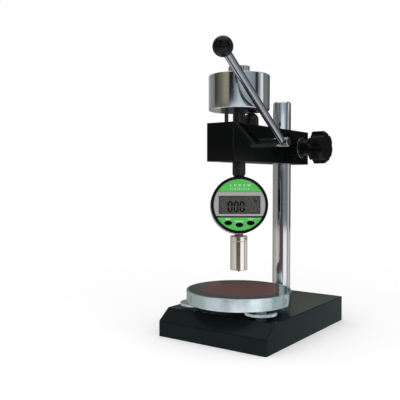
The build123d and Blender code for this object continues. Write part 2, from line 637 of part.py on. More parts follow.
def clamp_knob():
    """Moulded knob: a long hub and a lobed head with bevelled ends."""
    radius = KNOB_DIAMETER / 2
    low, high = KNOB_HEAD_START, KNOB_END
    outline = [(0, KNOB_START), (KNOB_HUB_DIAMETER / 2, KNOB_START), (KNOB_HUB_DIAMETER / 2, low),
               (radius - KNOB_BACK_DROP, low), (radius, low + KNOB_BACK_RUN),
               (radius, high - KNOB_FRONT_RUN), (radius - KNOB_FRONT_DROP, high), (0, high)]
    body = turned(outline)
    centre = radius - KNOB_FLUTE_DEPTH + KNOB_FLUTE_RADIUS
    for index in range(KNOB_LOBES):
        angle = radians(360 * (index + 0.5) / KNOB_LOBES + KNOB_LOBE_TURN)
        body -= rod_z(KNOB_FLUTE_RADIUS, low, high, centre * cos(angle), centre * sin(angle))
    body -= rod_z(CLAMP_SCREW_DIAMETER / 2 + SEAT_FIT, KNOB_START, KNOB_END - KNOB_INSERT_DEPTH)
    return Pos(0, CLAMP_Y, ARM_MIDDLE) * Rot(0, 90, 0) * body


def lever_shaft():
    """Cross shaft: stepped down inside the block, with a cross hole for the lever rod."""
    inner_start = -HALF_ARM + SHAFT_BLIND_WALL + BODY_GAP
    thin = rod_x(SHAFT_INNER_DIAMETER / 2, inner_start, CRANK_OUTER, PIVOT_Y, PIVOT_Z)
    radius = SHAFT_DIAMETER / 2
    ease = SHAFT_END_CHAMFER
    outline = [(0, CRANK_OUTER), (radius, CRANK_OUTER), (radius, SHAFT_END - ease),
               (radius - ease, SHAFT_END), (0, SHAFT_END)]
    thick = Pos(0, PIVOT_Y, PIVOT_Z) * Rot(0, 90, 0) * turned(outline)
    hole = along_lever(ROD_TENON_DIAMETER / 2 + SEAT_FIT, -SHAFT_DIAMETER, SHAFT_DIAMETER)
    return thin + thick - hole


def along_lever(radius, start, end):
    """A bar on the lever rod's axis, measured from the cross shaft's axis."""
    bar = Cylinder(radius, end - start, align=(Align.CENTER, Align.CENTER, Align.MIN))
    lean = Rot(90 - LEVER_RISE, 0, 0) * Rot(0, LEVER_SPLAY, 0)
    return Pos(ROD_X, PIVOT_Y, PIVOT_Z) * lean * Pos(0, 0, start) * bar


def ball_seat():
    """Distance along the lever at which the rod's shoulder meets the ball."""
    flat = sqrt((BALL_DIAMETER / 2) ** 2 - (ROD_RADIUS + BALL_FLAT_MARGIN) ** 2)
    return LEVER_LENGTH - flat


def lever_rod():
    """Round rod, saddled onto the cross shaft, with a tenon at each end."""
    rod = along_lever(ROD_RADIUS, 0, ball_seat())
    rod -= rod_x(SHAFT_DIAMETER / 2 + SEAT_FIT, 0, SHAFT_END + OVERRUN, PIVOT_Y, PIVOT_Z)
    tenon = along_lever(ROD_TENON_DIAMETER / 2, -SHAFT_DIAMETER / 2 + ROD_TENON_SINK, SHAFT_DIAMETER)
    thread = along_lever(BALL_THREAD_DIAMETER / 2, ball_seat() - OVERRUN, LEVER_LENGTH + BALL_SEAT)
    return rod + tenon + thread


def lever_ball():
    """Ball knob with a flat where the rod enters."""
    lean = Rot(90 - LEVER_RISE, 0, 0) * Rot(0, LEVER_SPLAY, 0)
    ball = Pos(ROD_X, PIVOT_Y, PIVOT_Z) * lean * Pos(0, 0, LEVER_LENGTH) * Sphere(BALL_DIAMETER / 2)
    ball -= along_lever(BALL_DIAMETER, LEVER_LENGTH - BALL_DIAMETER, ball_seat() + SEAT_FIT)
    bore_end = LEVER_LENGTH + BALL_SEAT + LOOSE_FIT
    return ball - along_lever(BALL_THREAD_DIAMETER / 2 + SEAT_FIT, ball_seat() - OVERRUN, bore_end)


def crank():
    """Crank arm pressed onto the shaft, with an eye for the crank pin."""
    hub = rod_x(CRANK_HUB_DIAMETER / 2, CRANK_INNER, CRANK_OUTER, PIVOT_Y, PIVOT_Z)
    eye = rod_x(CRANK_EYE_DIAMETER / 2, CRANK_INNER, CRANK_OUTER, PIN_Y, PIN_Z)
    half = CRANK_EYE_DIAMETER / 2
    web = block((CRANK_INNER, CRANK_OUTER), (-CRANK_RADIUS, 0), (-half, half))
    web = Pos(0, PIVOT_Y, PIVOT_Z) * Rot(-LEVER_TURN / 2, 0, 0) * web
    body = hub + eye + web
    body -= rod_x(SHAFT_INNER_DIAMETER / 2 + SEAT_FIT, CRANK_INNER, CRANK_OUTER, PIVOT_Y, PIVOT_Z)
    return body - rod_x(CRANK_PIN_DIAMETER / 2 + SEAT_FIT, CRANK_INNER, CRANK_OUTER, PIN_Y, PIN_Z)


def crank_pin():
    """Pin through the crank's eye that carries the roller."""
    return rod_x(CRANK_PIN_DIAMETER / 2, CRANK_INNER - ROLLER_LENGTH - SEAT_FIT, CRANK_OUTER, PIN_Y, PIN_Z)


def crank_roller():
    """Roller in the lifter's slot."""
    end = CRANK_INNER - SEAT_FIT
    wheel = rod_x(ROLLER_DIAMETER / 2, end - ROLLER_LENGTH, end, PIN_Y, PIN_Z)
    return wheel - rod_x(CRANK_PIN_DIAMETER / 2 + SEAT_FIT, end - ROLLER_LENGTH, end, PIN_Y, PIN_Z)


def lifter():
    """Domed pin that lifts the weight, with a cross slot for the roller."""
    bar = rod_z(LIFTER_RADIUS, LIFTER_BOTTOM, LIFTER_TOP, 0, LIFTER_Y)
    bar = fillet(bar.edges().group_by(Axis.Z)[-1], DOME_HEIGHT)
    reach = LIFTER_RADIUS + OVERRUN
    far_pin = PIVOT_Y - CRANK_RADIUS
    slot_y = (far_pin - ROLLER_DIAMETER / 2 - LOOSE_FIT, PIN_Y + ROLLER_DIAMETER / 2 + LOOSE_FIT)
    return bar - block((-reach, reach), slot_y, (SLOT_BOTTOM, SLOT_TOP))


def spindle():
    """Spindle: spigot for the sleeve, sliding bar, shoulder and journal for the weight."""
    journal = WEIGHT_JOURNAL_DIAMETER / 2
    spigot = SPIGOT_DIAMETER / 2
    end = TOP_NUT_TOP - TOP_NUT_EDGE
    outline = [(0, SPIGOT_BOTTOM), (spigot, SPIGOT_BOTTOM), (spigot, SLEEVE_TOP),
               (SPINDLE_RADIUS, SLEEVE_TOP), (SPINDLE_RADIUS, WEIGHT_BOTTOM), (journal, WEIGHT_BOTTOM),
               (journal, end - JOURNAL_CHAMFER), (journal - JOURNAL_CHAMFER, end), (0, end)]
    return turned(outline, 0, SPINDLE_Y)


def weight():
    """Turned weight with a blind hole for the guide rod."""
    edge = WEIGHT_EDGE
    bore = WEIGHT_JOURNAL_DIAMETER / 2 + SEAT_FIT
    outline = [(bore, WEIGHT_BOTTOM), (WEIGHT_RADIUS - edge, WEIGHT_BOTTOM),
               (WEIGHT_RADIUS, WEIGHT_BOTTOM + edge), (WEIGHT_RADIUS, WEIGHT_TOP - edge),
               (WEIGHT_RADIUS - edge, WEIGHT_TOP), (bore, WEIGHT_TOP)]
    hole_top = WEIGHT_BOTTOM + GUIDE_ROD_ENGAGED + STROKE + GUIDE_HOLE_SPARE
    hole = rod_z(GUIDE_ROD_DIAMETER / 2 + RUNNING_FIT, WEIGHT_BOTTOM, hole_top, 0, GUIDE_ROD_Y)
    return turned(outline, 0, SPINDLE_Y) - hole


def top_nut():
    """Hand nut on the weight: a narrow neck under a wider gripped head."""
    bore = WEIGHT_JOURNAL_DIAMETER / 2 + RUNNING_FIT
    neck = TOP_NUT_NECK_DIAMETER / 2
    radius = TOP_NUT_DIAMETER / 2
    step = TOP_NUT_BOTTOM + TOP_NUT_NECK_HEIGHT
    ease = TOP_NUT_EDGE
    outline = [(bore, TOP_NUT_BOTTOM), (neck, TOP_NUT_BOTTOM), (neck, step), (radius - ease, step),
               (radius, step + ease), (radius, TOP_NUT_TOP - ease), (radius - ease, TOP_NUT_TOP),
               (bore, TOP_NUT_TOP)]
    return turned(outline, 0, SPINDLE_Y)


def spindle_sleeve():
    """Sleeve under the arm, tapered below, bored for the spindle above and the gauge's stem below."""
    radius = SLEEVE_DIAMETER / 2
    stem = STEM_DIAMETER / 2 + RUNNING_FIT
    spigot = SPIGOT_DIAMETER / 2 + SEAT_FIT
    outline = [(stem, SLEEVE_BOTTOM), (radius - SLEEVE_TAPER / 2, SLEEVE_BOTTOM),
               (radius, SLEEVE_BOTTOM + SLEEVE_TAPER), (radius, SLEEVE_TOP), (spigot, SLEEVE_TOP),
               (spigot, SPIGOT_BOTTOM), (stem, SPIGOT_BOTTOM)]
    sleeve = turned(outline, 0, SPINDLE_Y)
    return sleeve - sleeve_screw_bar(SLEEVE_SCREW_DIAMETER / 2 + SEAT_FIT, radius + OVERRUN)


def sleeve_screw_bar(radius, outer):
    """A bar lying through the sleeve's rear wall."""
    inner = SPIGOT_DIAMETER / 2 + SEAT_FIT
    bar = Cylinder(radius, outer - inner, align=(Align.CENTER, Align.CENTER, Align.MIN))
    height = SLEEVE_TOP - SPIGOT_LENGTH / 2
    return Pos(0, SPINDLE_Y + inner, height) * Rot(-90, 0, 0) * bar


def sleeve_screw():
    """Set screw that holds the sleeve on the spindle."""
    return sleeve_screw_bar(SLEEVE_SCREW_DIAMETER / 2, SLEEVE_DIAMETER / 2 - SLEEVE_SCREW_SINK)


def gauge_place(piece):
    """Moves a piece drawn with its face square to the front to its place under the spindle."""
    return Pos(0, SPINDLE_Y, 0) * Rot(0, 0, FACE_TURN) * piece


def slab(sketch, front, back):
    """A sketch on the gauge's face given depth, from a front plane to a back plane."""
    face = Plane((0, front, HEAD_Z), x_dir=(1, 0, 0), z_dir=(0, -1, 0))
    return extrude(face * sketch, -(back - front))


def ring(outer, inner, front, back):
    """A round ring about the gauge's middle, between two planes."""
    return slab(Circle(outer) - Circle(inner), front, back)


def gauge_bezel():
    """Bezel: a thin lip round the face plate, a ledge behind it and a skirt round the case."""
    lip = ring(BEZEL_RADIUS, FACE_RADIUS, -FACE_FRONT, PLATE_BACK)
    front_edges = lip.edges().filter_by(GeomType.CIRCLE).group_by(Axis.Y)[0]
    lip = chamfer(front_edges.sort_by(SortBy.RADIUS)[-1], BEZEL_EDGE)
    ledge = ring(BEZEL_RADIUS, FACE_RADIUS - FACE_LEDGE, PLATE_BACK, LEDGE_BACK)
    skirt = ring(BEZEL_RADIUS, CASE_RADIUS + SEAT_FIT, LEDGE_BACK, -FACE_FRONT + BEZEL_DEPTH)
    return lip + ledge + skirt


def gauge_case():
    """Turned case with bosses above and below for the stem and the neck, and four for the back cover."""
    shell = ring(CASE_RADIUS, CASE_BORE, CASE_FRONT, CASE_BACK)
    inside = slab(Circle(CASE_RADIUS), CASE_FRONT, CASE_BACK)
    lower_radius = NECK_THREAD_DIAMETER / 2 + CASE_BOSS_WALL
    upper_radius = STEM_DIAMETER / 2 + CASE_BOSS_WALL
    lower = rod_z(lower_radius, HEAD_Z - CASE_RADIUS, HEAD_Z - CASE_BORE + CASE_BOSS_RISE)
    upper = rod_z(upper_radius, HEAD_Z + CASE_BORE - CASE_BOSS_RISE, HEAD_Z + CASE_RADIUS)
    shell += (lower + upper) & inside
    for x, z in fastener_places():
        boss = Pos(x, z) * Circle(FASTENER_BOSS_DIAMETER / 2)
        hole = Pos(x, z) * Circle(FASTENER_DIAMETER / 2 + SEAT_FIT)
        shell += slab(boss, CASE_BACK - FASTENER_BOSS_LENGTH, CASE_BACK) & inside
        shell -= slab(hole, CASE_BACK - FASTENER_DEPTH, CASE_BACK)
    neck_hole = NECK_THREAD_DIAMETER / 2 + SEAT_FIT
    shell -= rod_z(NECK_DIAMETER / 2 + SEAT_FIT, HEAD_Z - CASE_RADIUS - OVERRUN, NECK_TOP)
    shell -= rod_z(neck_hole, NECK_TOP - OVERRUN, NECK_TOP + NECK_THREAD_LENGTH)
    return shell - rod_z(STEM_DIAMETER / 2 + SEAT_FIT, STEM_BOTTOM, HEAD_Z + CASE_RADIUS + OVERRUN)


def fastener_places():
    """Places of the back cover's screws, measured from the gauge's middle."""
    reach = FASTENER_CIRCLE_RADIUS
    return [(reach * cos(radians(angle)), reach * sin(radians(angle))) for angle in (45, 135, 225, 315)]


def back_cover():
    """Back cover with sunk screw seats."""
    back = CASE_BACK + BACK_COVER_THICKNESS
    cover = slab(Circle(CASE_RADIUS), CASE_BACK, back)
    rim = cover.edges().filter_by(GeomType.CIRCLE).group_by(Axis.Y)[-1]
    cover = chamfer(rim, BACK_COVER_EDGE)
    for x, z in fastener_places():
        cover -= slab(Pos(x, z) * Circle(FASTENER_DIAMETER / 2 + LOOSE_FIT), CASE_BACK, back)
        cover -= slab(Pos(x, z) * Circle(FASTENER_DIAMETER), FASTENER_SEAT, back)
    return cover


def back_cover_screws():
    """Screws of the back cover."""
    tip = CASE_BACK - FASTENER_DEPTH + LOOSE_FIT
    screws = []
    for x, z in fastener_places():
        head_sketch = Pos(x, z) * Circle(FASTENER_DIAMETER - SEAT_FIT)
        head = slab(head_sketch, FASTENER_SEAT, FASTENER_SEAT + FASTENER_HEAD_HEIGHT)
        screws.append(head + slab(Pos(x, z) * Circle(FASTENER_DIAMETER / 2), tip, FASTENER_SEAT))
    return screws


def window_sketch(margin):
    """Rounded outline of the display window, grown by a margin."""
    return RectangleRounded(WINDOW_WIDTH + 2 * margin, WINDOW_HEIGHT + 2 * margin, WINDOW_RADIUS + margin)


def button_sketch(name, margin):
    """Oval outline of a push button, grown by a margin."""
    x, z = BUTTON_PLACES[name]
    return Pos(x, z) * Ellipse(BUTTON_LENGTH / 2 + margin, BUTTON_HEIGHT / 2 + margin)


def face_plate():
    """Face plate with openings for the display and the buttons."""
    plate = slab(Circle(FACE_RADIUS - SEAT_FIT), PLATE_FRONT, PLATE_BACK)
    plate -= slab(window_sketch(SEAT_FIT), PLATE_FRONT, PLATE_BACK)
    for name in BUTTON_PLACES:
        plate -= slab(button_sketch(name, RUNNING_FIT), PLATE_FRONT, PLATE_BACK)
    return plate


def display_window():
    """Clear window set flush in the face plate."""
    return slab(window_sketch(0), PLATE_FRONT + WINDOW_SINK, PLATE_BACK)


def display_module():
    """Display glass behind the window."""
    width = WINDOW_WIDTH + 2 * DISPLAY_BORDER
    height = WINDOW_HEIGHT + 2 * DISPLAY_BORDER
    front = PLATE_BACK + SEAT_FIT
    return slab(Rectangle(width, height), front, front + DISPLAY_THICKNESS)


def push_button(name):
    """Oval button with a flange that keeps it behind the face plate and a stem to its switch."""
    flange_front = PLATE_BACK + BODY_GAP
    flange_back = flange_front + BUTTON_FLANGE_THICKNESS
    cap = slab(button_sketch(name, 0), PLATE_FRONT - BUTTON_PROUD, flange_front)
    cap = fillet(cap.edges().group_by(Axis.Y)[0], BUTTON_EDGE)
    flange = slab(button_sketch(name, BUTTON_FLANGE), flange_front, flange_back)
    x, z = BUTTON_PLACES[name]
    stem_back = BOARD_FRONT - BUTTON_TRAVEL - RUNNING_FIT
    return cap + flange + slab(Pos(x, z) * Circle(BUTTON_STEM_DIAMETER / 2), flange_back, stem_back)


def circuit_board():
    """Round board with flats above and below."""
    outline = Circle(CASE_BORE - LOOSE_FIT) & Rectangle(2 * CASE_BORE, BOARD_HEIGHT)
    return slab(outline, BOARD_FRONT, BOARD_BACK)


def sensor_coil():
    """Displacement sensor on the board, in which the indenter's rod slides."""
    half = COIL_WIDTH / 2
    top = COIL_BOTTOM + COIL_HEIGHT
    body = block((-half, half), (BOARD_BACK, BOARD_BACK + COIL_DEPTH), (COIL_BOTTOM, top))
    return body - rod_z(INDENTER_DIAMETER / 2 + RUNNING_FIT, COIL_BOTTOM, top)


def battery_holder():
    """Holder of the button cell, on two posts from the board."""
    outer = BATTERY_DIAMETER / 2 + HOLDER_WALL
    back = CASE_BACK - BODY_GAP
    front = back - BATTERY_THICKNESS - HOLDER_WALL
    hollow = Pos(0, BATTERY_HEIGHT) * Circle(BATTERY_DIAMETER / 2 + RUNNING_FIT)
    cup = slab(Pos(0, BATTERY_HEIGHT) * Circle(outer), front, back) - slab(hollow, front + HOLDER_WALL, back)
    for x in (-HOLDER_POST_REACH, HOLDER_POST_REACH):
        cup += slab(Pos(x, BATTERY_HEIGHT) * Circle(HOLDER_POST_DIAMETER / 2), BOARD_BACK, front)
    return cup


def battery():
    """Button cell."""
    back = CASE_BACK - BODY_GAP
    cell = slab(Pos(0, BATTERY_HEIGHT) * Circle(BATTERY_DIAMETER / 2), back - BATTERY_THICKNESS, back)
    return chamfer(cell.edges().group_by(Axis.Y)[-1], BATTERY_EDGE)


def mounting_stem():
    """Stem on top of the case that enters the spindle's sleeve, shouldered on the case."""
    return rod_z(STEM_DIAMETER / 2, STEM_BOTTOM, SLEEVE_BOTTOM + STEM_IN_SLEEVE - LOOSE_FIT)


def neck_bush():
    """Short neck between the head and the foot, threaded at both ends, bored for the indenter's rod."""
    outer = NECK_DIAMETER / 2
    thread = NECK_THREAD_DIAMETER / 2
    bore = INDENTER_DIAMETER / 2 + RUNNING_FIT
    top = NECK_TOP + NECK_THREAD_LENGTH - LOOSE_FIT
    bottom = NECK_BOTTOM - COLLAR_LENGTH
    outline = [(bore, bottom), (thread, bottom), (thread, NECK_BOTTOM), (outer, NECK_BOTTOM),
               (outer, NECK_TOP), (thread, NECK_TOP), (thread, top), (bore, top)]
    return turned(outline)


def foot_collar():
    """Collar at the top of the foot, with a fine groove at its lower edge."""
    radius = FOOT_DIAMETER / 2
    bore = NECK_THREAD_DIAMETER / 2 + SEAT_FIT
    ease = FOOT_EDGE
    groove = radius - COLLAR_GROOVE
    step = COLLAR_BOTTOM + COLLAR_GROOVE
    outline = [(bore, COLLAR_BOTTOM), (groove, COLLAR_BOTTOM), (groove, step), (radius, step),
               (radius, FOOT_TOP - ease), (radius - ease, FOOT_TOP), (bore, FOOT_TOP)]
    collar = turned(outline)
    for angle in FOOT_SCREW_ANGLES:
        collar -= Rot(0, 0, angle) * foot_screw_bar(FOOT_SCREW_DIAMETER / 2 + SEAT_FIT, radius + OVERRUN)
    return collar


def foot_screw_bar(radius, outer):
    """A bar lying through the collar's wall."""
    inner = NECK_THREAD_DIAMETER / 2 + LOOSE_FIT
    return rod_x(radius, inner, outer, 0, FOOT_TOP - FOOT_SCREW_DROP)


def foot_screws():
    """Two set screws in the collar."""
    screw = foot_screw_bar(FOOT_SCREW_DIAMETER / 2, FOOT_DIAMETER / 2 - COLLAR_GROOVE)
    return [Rot(0, 0, angle) * screw for angle in FOOT_SCREW_ANGLES]


def foot_housing():
    """Presser foot: a round housing with the spring's cavity and a small hole for the indenter."""
    radius = FOOT_DIAMETER / 2
    hole = INDENTER_DIAMETER / 2 + RUNNING_FIT
    ease = FOOT_EDGE
    outline = [(hole, FOOT_BOTTOM), (radius - ease, FOOT_BOTTOM), (radius, FOOT_BOTTOM + ease),
               (radius, COLLAR_BOTTOM), (FOOT_BORE, COLLAR_BOTTOM), (FOOT_BORE, CAVITY_BOTTOM),
               (hole, CAVITY_BOTTOM)]
    return turned(outline)


def indenter():
    """Indenter: a conical tip, the rod and the collar that the spring bears on."""
    radius = INDENTER_DIAMETER / 2
    tip = INDENTER_TIP_DIAMETER / 2
    cone = (radius - tip) / tan(radians(INDENTER_CONE_ANGLE / 2))
    collar = INDENTER_COLLAR_DIAMETER / 2
    outline = [(0, INDENTER_TIP), (tip, INDENTER_TIP), (radius, INDENTER_TIP + cone),
               (radius, INDENTER_COLLAR_BOTTOM), (collar, INDENTER_COLLAR_BOTTOM),
               (collar, INDENTER_COLLAR_TOP), (radius, INDENTER_COLLAR_TOP), (radius, INDENTER_TOP),
               (0, INDENTER_TOP)]
    return turned(outline)


def indenter_spring():
    """Coil spring between the indenter's collar and the top of the foot."""
    middle = (SPRING_DIAMETER - SPRING_WIRE) / 2
    low = SPRING_BOTTOM + SPRING_WIRE / 2
    height = SPRING_TOP - SPRING_BOTTOM - SPRING_WIRE
    path = Pos(0, 0, low) * Helix(height / SPRING_TURNS, height, middle)
    section = Plane(origin=path @ 0, z_dir=path % 0) * Circle(SPRING_WIRE / 2)
    return sweep(section, path, is_frenet=True)


FIXED_PIECES = {
    "base_casting": base_casting,
    "column": column,
    "column_bolt": column_bolt,
    "column_washer": column_washer,
    "levelling_studs": levelling_studs,
    "platform_disc": platform_disc,
    "platform_glass": platform_glass,
    "platform_rim_screws": rim_screws,
    "column_liner": column_liner,
    "arm_block": arm_block,
    "arm_cover": arm_cover,
    "arm_cover_screws": cover_screws,
    "lifter_bush": lifter_bush,
    "guide_rod": guide_rod,
    "clamp_washer": clamp_washer,
    "clamp_screw": clamp_screw,
    "clamp_knob": clamp_knob,
    "lever_shaft": lever_shaft,
    "lever_rod": lever_rod,
    "lever_ball": lever_ball,
    "crank": crank,
    "crank_pin": crank_pin,
    "crank_roller": crank_roller,
    "lifter": lifter,
    "spindle": spindle,
    "weight": weight,
    "weight_nut": top_nut,
    "spindle_sleeve": spindle_sleeve,
    "sleeve_screw": sleeve_screw,
}

GAUGE_PIECES = {
    "gauge_bezel": gauge_bezel,
    "gauge_case": gauge_case,
    "gauge_back_cover": back_cover,
    "gauge_back_screws": back_cover_screws,
    "face_plate": face_plate,
    "display_window": display_window,
    "display_module": display_module,
    "circuit_board": circuit_board,
    "sensor_coil": sensor_coil,
    "battery_holder": battery_holder,
    "battery": battery,
    "mounting_stem": mounting_stem,
    "neck_bush": neck_bush,
    "foot_collar": foot_collar,
    "foot_collar_screws": foot_screws,
    "foot_housing": foot_housing,
    "indenter": indenter,
    "indenter_spring": indenter_spring,
}


def all_pieces():
    """Every named piece in its place."""
    pieces = {name: make() for name, make in FIXED_PIECES.items()}
    pieces["spindle_bush_upper"] = spindle_bush(ARM_TOP - SPINDLE_BUSH_LENGTH)
    pieces["spindle_bush_lower"] = spindle_bush(ARM_BOTTOM)
    pieces["shaft_bush_outer"] = shaft_bush(SHAFT_DIAMETER / 2, POCKET_RIGHT, HALF_ARM)
    blind_end = -HALF_ARM + SHAFT_BLIND_WALL
    pieces["shaft_bush_inner"] = shaft_bush(SHAFT_INNER_DIAMETER / 2, blind_end, POCKET_LEFT)
    for name in STUD_ANGLES:
        pieces[f"levelling_nut_{name}"] = levelling_nut(name)
    gauge = {name: make() for name, make in GAUGE_PIECES.items()}
    for name in BUTTON_PLACES:
        gauge[f"button_{name}"] = push_button(name)
    for name, piece in gauge.items():
        pieces[name] = [gauge_place(solid) for solid in solids_of(piece)]
    return pieces


def solids_of(piece):
    """The separate solids of a piece or of a group of like pieces."""
    group = piece if isinstance(piece, list) else [piece]
    return [solid for member in group for solid in member.solids()]


def main():
    """Writes each piece to a file of its own."""
    os.makedirs("parts", exist_ok=True)
    for name, piece in all_pieces().items():
        solids = solids_of(piece)
        shape = solids[0] if len(solids) == 1 else Compound(solids)
        export_step(shape, f"parts/{name}.step")


main()
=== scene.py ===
"""Looks of a bench hardness tester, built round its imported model.

Metres, +Z up, front of the stand towards -Y, as the frame gives them.
"""
import logging
import math
from contextlib import contextmanager
from dataclasses import dataclass, field
from enum import Enum
from functools import partial
from typing import Callable, Iterator, Sequence, Union

import bmesh
import bpy
from mathutils import Matrix, Vector


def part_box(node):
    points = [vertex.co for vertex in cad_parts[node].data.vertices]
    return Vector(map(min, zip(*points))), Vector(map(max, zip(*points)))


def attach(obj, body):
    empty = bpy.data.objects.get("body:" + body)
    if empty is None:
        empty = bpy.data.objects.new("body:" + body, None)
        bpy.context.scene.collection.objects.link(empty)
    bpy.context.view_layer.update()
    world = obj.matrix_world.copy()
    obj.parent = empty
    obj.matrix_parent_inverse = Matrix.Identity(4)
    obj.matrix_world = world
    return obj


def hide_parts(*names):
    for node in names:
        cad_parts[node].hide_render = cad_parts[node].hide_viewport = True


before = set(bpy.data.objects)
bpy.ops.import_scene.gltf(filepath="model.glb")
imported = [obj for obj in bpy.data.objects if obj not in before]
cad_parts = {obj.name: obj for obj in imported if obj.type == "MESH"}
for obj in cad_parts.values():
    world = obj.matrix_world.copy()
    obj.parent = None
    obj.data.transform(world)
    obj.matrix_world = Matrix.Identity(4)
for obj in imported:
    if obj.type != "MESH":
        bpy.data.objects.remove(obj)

MM = 0.001
UP = Vector((0.0, 0.0, 1.0))
ALONG = 0.9  # a direction's share on an axis from which it counts as lying along it
FACE_TURN = math.radians(35.0)  # the gauge's face, turned from the stand's front
WHITE = (1.0, 1.0, 1.0, 1.0)
LOG = logging.getLogger("hardness_tester")
Point = tuple[float, float]
Outline = Sequence[Point]
Triple = tuple[float, float, float]
Bands = tuple[tuple[float, Triple], ...]


class Wire:
    """A node's output that takes part in Python arithmetic."""

    def __init__(self, bench: "NodeBench", socket: bpy.types.NodeSocket) -> None:
        """Keeps the tree's bench and the output socket."""
        self.bench = bench
        self.socket = socket

    def other(self, name: str) -> "Wire":
        """Another output of the same node."""
        return Wire(self.bench, self.socket.node.outputs[name])

    def calculate(self, operation: str, first: "Value", second: "Value") -> "Wire":
        """The result of a Math node on two values."""
        return self.bench.node("ShaderNodeMath", {"operation": operation}, {0: first, 1: second})

    def __add__(self, other: "Value") -> "Wire":
        """Adds."""
        return self.calculate("ADD", self, other)

    def __radd__(self, other: "Value") -> "Wire":
        """Adds to a number."""
        return self.calculate("ADD", other, self)

    def __rsub__(self, other: "Value") -> "Wire":
        """Subtracts from a number."""
        return self.calculate("SUBTRACT", other, self)

    def __rmul__(self, other: "Value") -> "Wire":
        """Multiplies a number."""
        return self.calculate("MULTIPLY", other, self)

    def __truediv__(self, other: "Value") -> "Wire":
        """Divides."""
        return self.calculate("DIVIDE", self, other)

    def __gt__(self, other: "Value") -> "Wire":
        """One where it is greater, and nothing elsewhere."""
        return self.calculate("GREATER_THAN", self, other)


Value = Union[Wire, float, int, tuple]


class NodeBench:
    """Builds one material's or one world's tree of nodes."""

    def __init__(self, tree: bpy.types.NodeTree) -> None:
        """Starts from an empty tree."""
        self.tree = tree
        tree.nodes.clear()

    def node(self, kind: str, settings: dict | None = None, sockets: dict | None = None) -> Wire:
        """Adds any node.

        Args:
            kind: the node's type.
            settings: its settings by name, set first. "stops" holds a ramp's places and colours.
            sockets: values or wires by the input's name or number.

        Returns:
            The wire of its first live output.
        """
        made = self.tree.nodes.new(kind)
        for name, value in (settings or {}).items():
            if name == "stops":
                self.set_stops(made.color_ramp, value)
            else:
                setattr(made, name, value)
        for name, value in (sockets or {}).items():
            if isinstance(value, Wire):
                self.tree.links.new(value.socket, made.inputs[name])
            else:
                made.inputs[name].default_value = value
        live = [socket for socket in made.outputs if socket.enabled]
        return Wire(self, live[0]) if live else Wire(self, made.inputs[0])

    @staticmethod
    def set_stops(ramp: bpy.types.ColorRamp, stops: Bands) -> None:
        """Puts a ramp's stops in place.

        Args:
            ramp: the ramp.
            stops: places from 0 to 1 with their colours.
        """
        while len(ramp.elements) < len(stops):
            ramp.elements.new(1.0)
        for element, (place, colour) in zip(ramp.elements, stops):
            element.position = place
            element.color = rgba(colour)

    def coordinates(self, stretch: Triple = (1.0, 1.0, 1.0), turn: float = 0.0,
                    shift: Triple = (0.0, 0.0, 0.0)) -> Wire:
        """Object coordinates, stretched, turned about the upright axis and shifted.

        Args:
            stretch: the factor on each axis.
            turn: the turn in radians.
            shift: the way along each axis.

        Returns:
            The wire of the coordinates.
        """
        sockets = {"Vector": self.node("ShaderNodeTexCoord").other("Object"), "Location": shift,
                   "Rotation": (0.0, 0.0, turn), "Scale": stretch}
        return self.node("ShaderNodeMapping", {"vector_type": "POINT"}, sockets)

    def length(self, place: Wire) -> Wire:
        """Length of a vector."""
        return self.node("ShaderNodeVectorMath", {"operation": "LENGTH"}, {0: place})

    def soft_step(self, value: Wire, start: float, end: float) -> Wire:
        """Rises smoothly from 0 to 1 between two values."""
        return self.node("ShaderNodeMapRange", {"interpolation_type": "SMOOTHSTEP"},
                         {"Value": value, "From Min": start, "From Max": end})

    def noise(self, place: Wire, scale: float, detail: float = 3.0) -> Wire:
        """Noise from 0 to 1 at a scale in cycles a metre."""
        return self.node("ShaderNodeTexNoise", None, {"Vector": place, "Scale": scale, "Detail": detail})

    def blend(self, amount: Value, first: Value, second: Value) -> Wire:
        """Mixes two colours."""
        return self.node("ShaderNodeMix", {"data_type": "RGBA"}, {0: amount, 6: first, 7: second})

    def bump(self, height: Wire, depth: float, strength: float = 1.0) -> Wire:
        """Turns a height into a normal."""
        return self.node("ShaderNodeBump", None, {"Height": height, "Distance": depth, "Strength": strength})


def rgba(colour: Triple) -> tuple[float, float, float, float]:
    """An opaque colour for a socket."""
    return (*colour, 1.0)


class Lay(Enum):
    """Which way the marks of a tool run over a piece, as a stretch of its coordinates."""

    ROUND_UPRIGHT = (30.0, 30.0, 9000.0)
    ROUND_ACROSS = (9000.0, 30.0, 30.0)
    EVEN = (900.0, 900.0, 900.0)


@dataclass(frozen=True)
class Finish:
    """A plain finish: one colour with slight unevenness."""

    name: str
    slot: str
    colour: Triple
    roughness: float
    metallic: float = 0.0
    specular: float = 0.5
    mottle: float = 0.12
    mottle_scale: float = 60.0
    alpha: float = 1.0

    def material(self) -> bpy.types.Material:
        """Makes the finish's material, or finds it where it is made already.

        Returns:
            The material.
        """
        title = "tester_" + self.name
        known = bpy.data.materials.get(title)
        if known:
            return known
        material = bpy.data.materials.new(title)
        material.use_nodes = True
        bench = NodeBench(material.node_tree)
        sockets = {"Metallic": self.metallic, "Specular IOR Level": self.specular, "Alpha": self.alpha}
        sockets.update(self.surface(bench))
        shader = bench.node("ShaderNodeBsdfPrincipled", None, sockets)
        bench.node("ShaderNodeOutputMaterial", None, {"Surface": shader})
        material.diffuse_color = rgba(self.colour)
        return material

    def surface(self, bench: NodeBench) -> dict[str, Value]:
        """A faint cloud in the colour and the roughness.

        Args:
            bench: the material's bench.

        Returns:
            The shader's varied sockets.
        """
        cloud = bench.noise(bench.coordinates(), self.mottle_scale)
        darker = tuple(part * (1.0 - self.mottle) for part in self.colour)
        lighter = tuple(min(1.0, part * (1.0 + self.mottle)) for part in self.colour)
        return {"Base Color": bench.blend(cloud, rgba(darker), rgba(lighter)),
                "Roughness": self.roughness * (0.8 + 0.4 * cloud)}


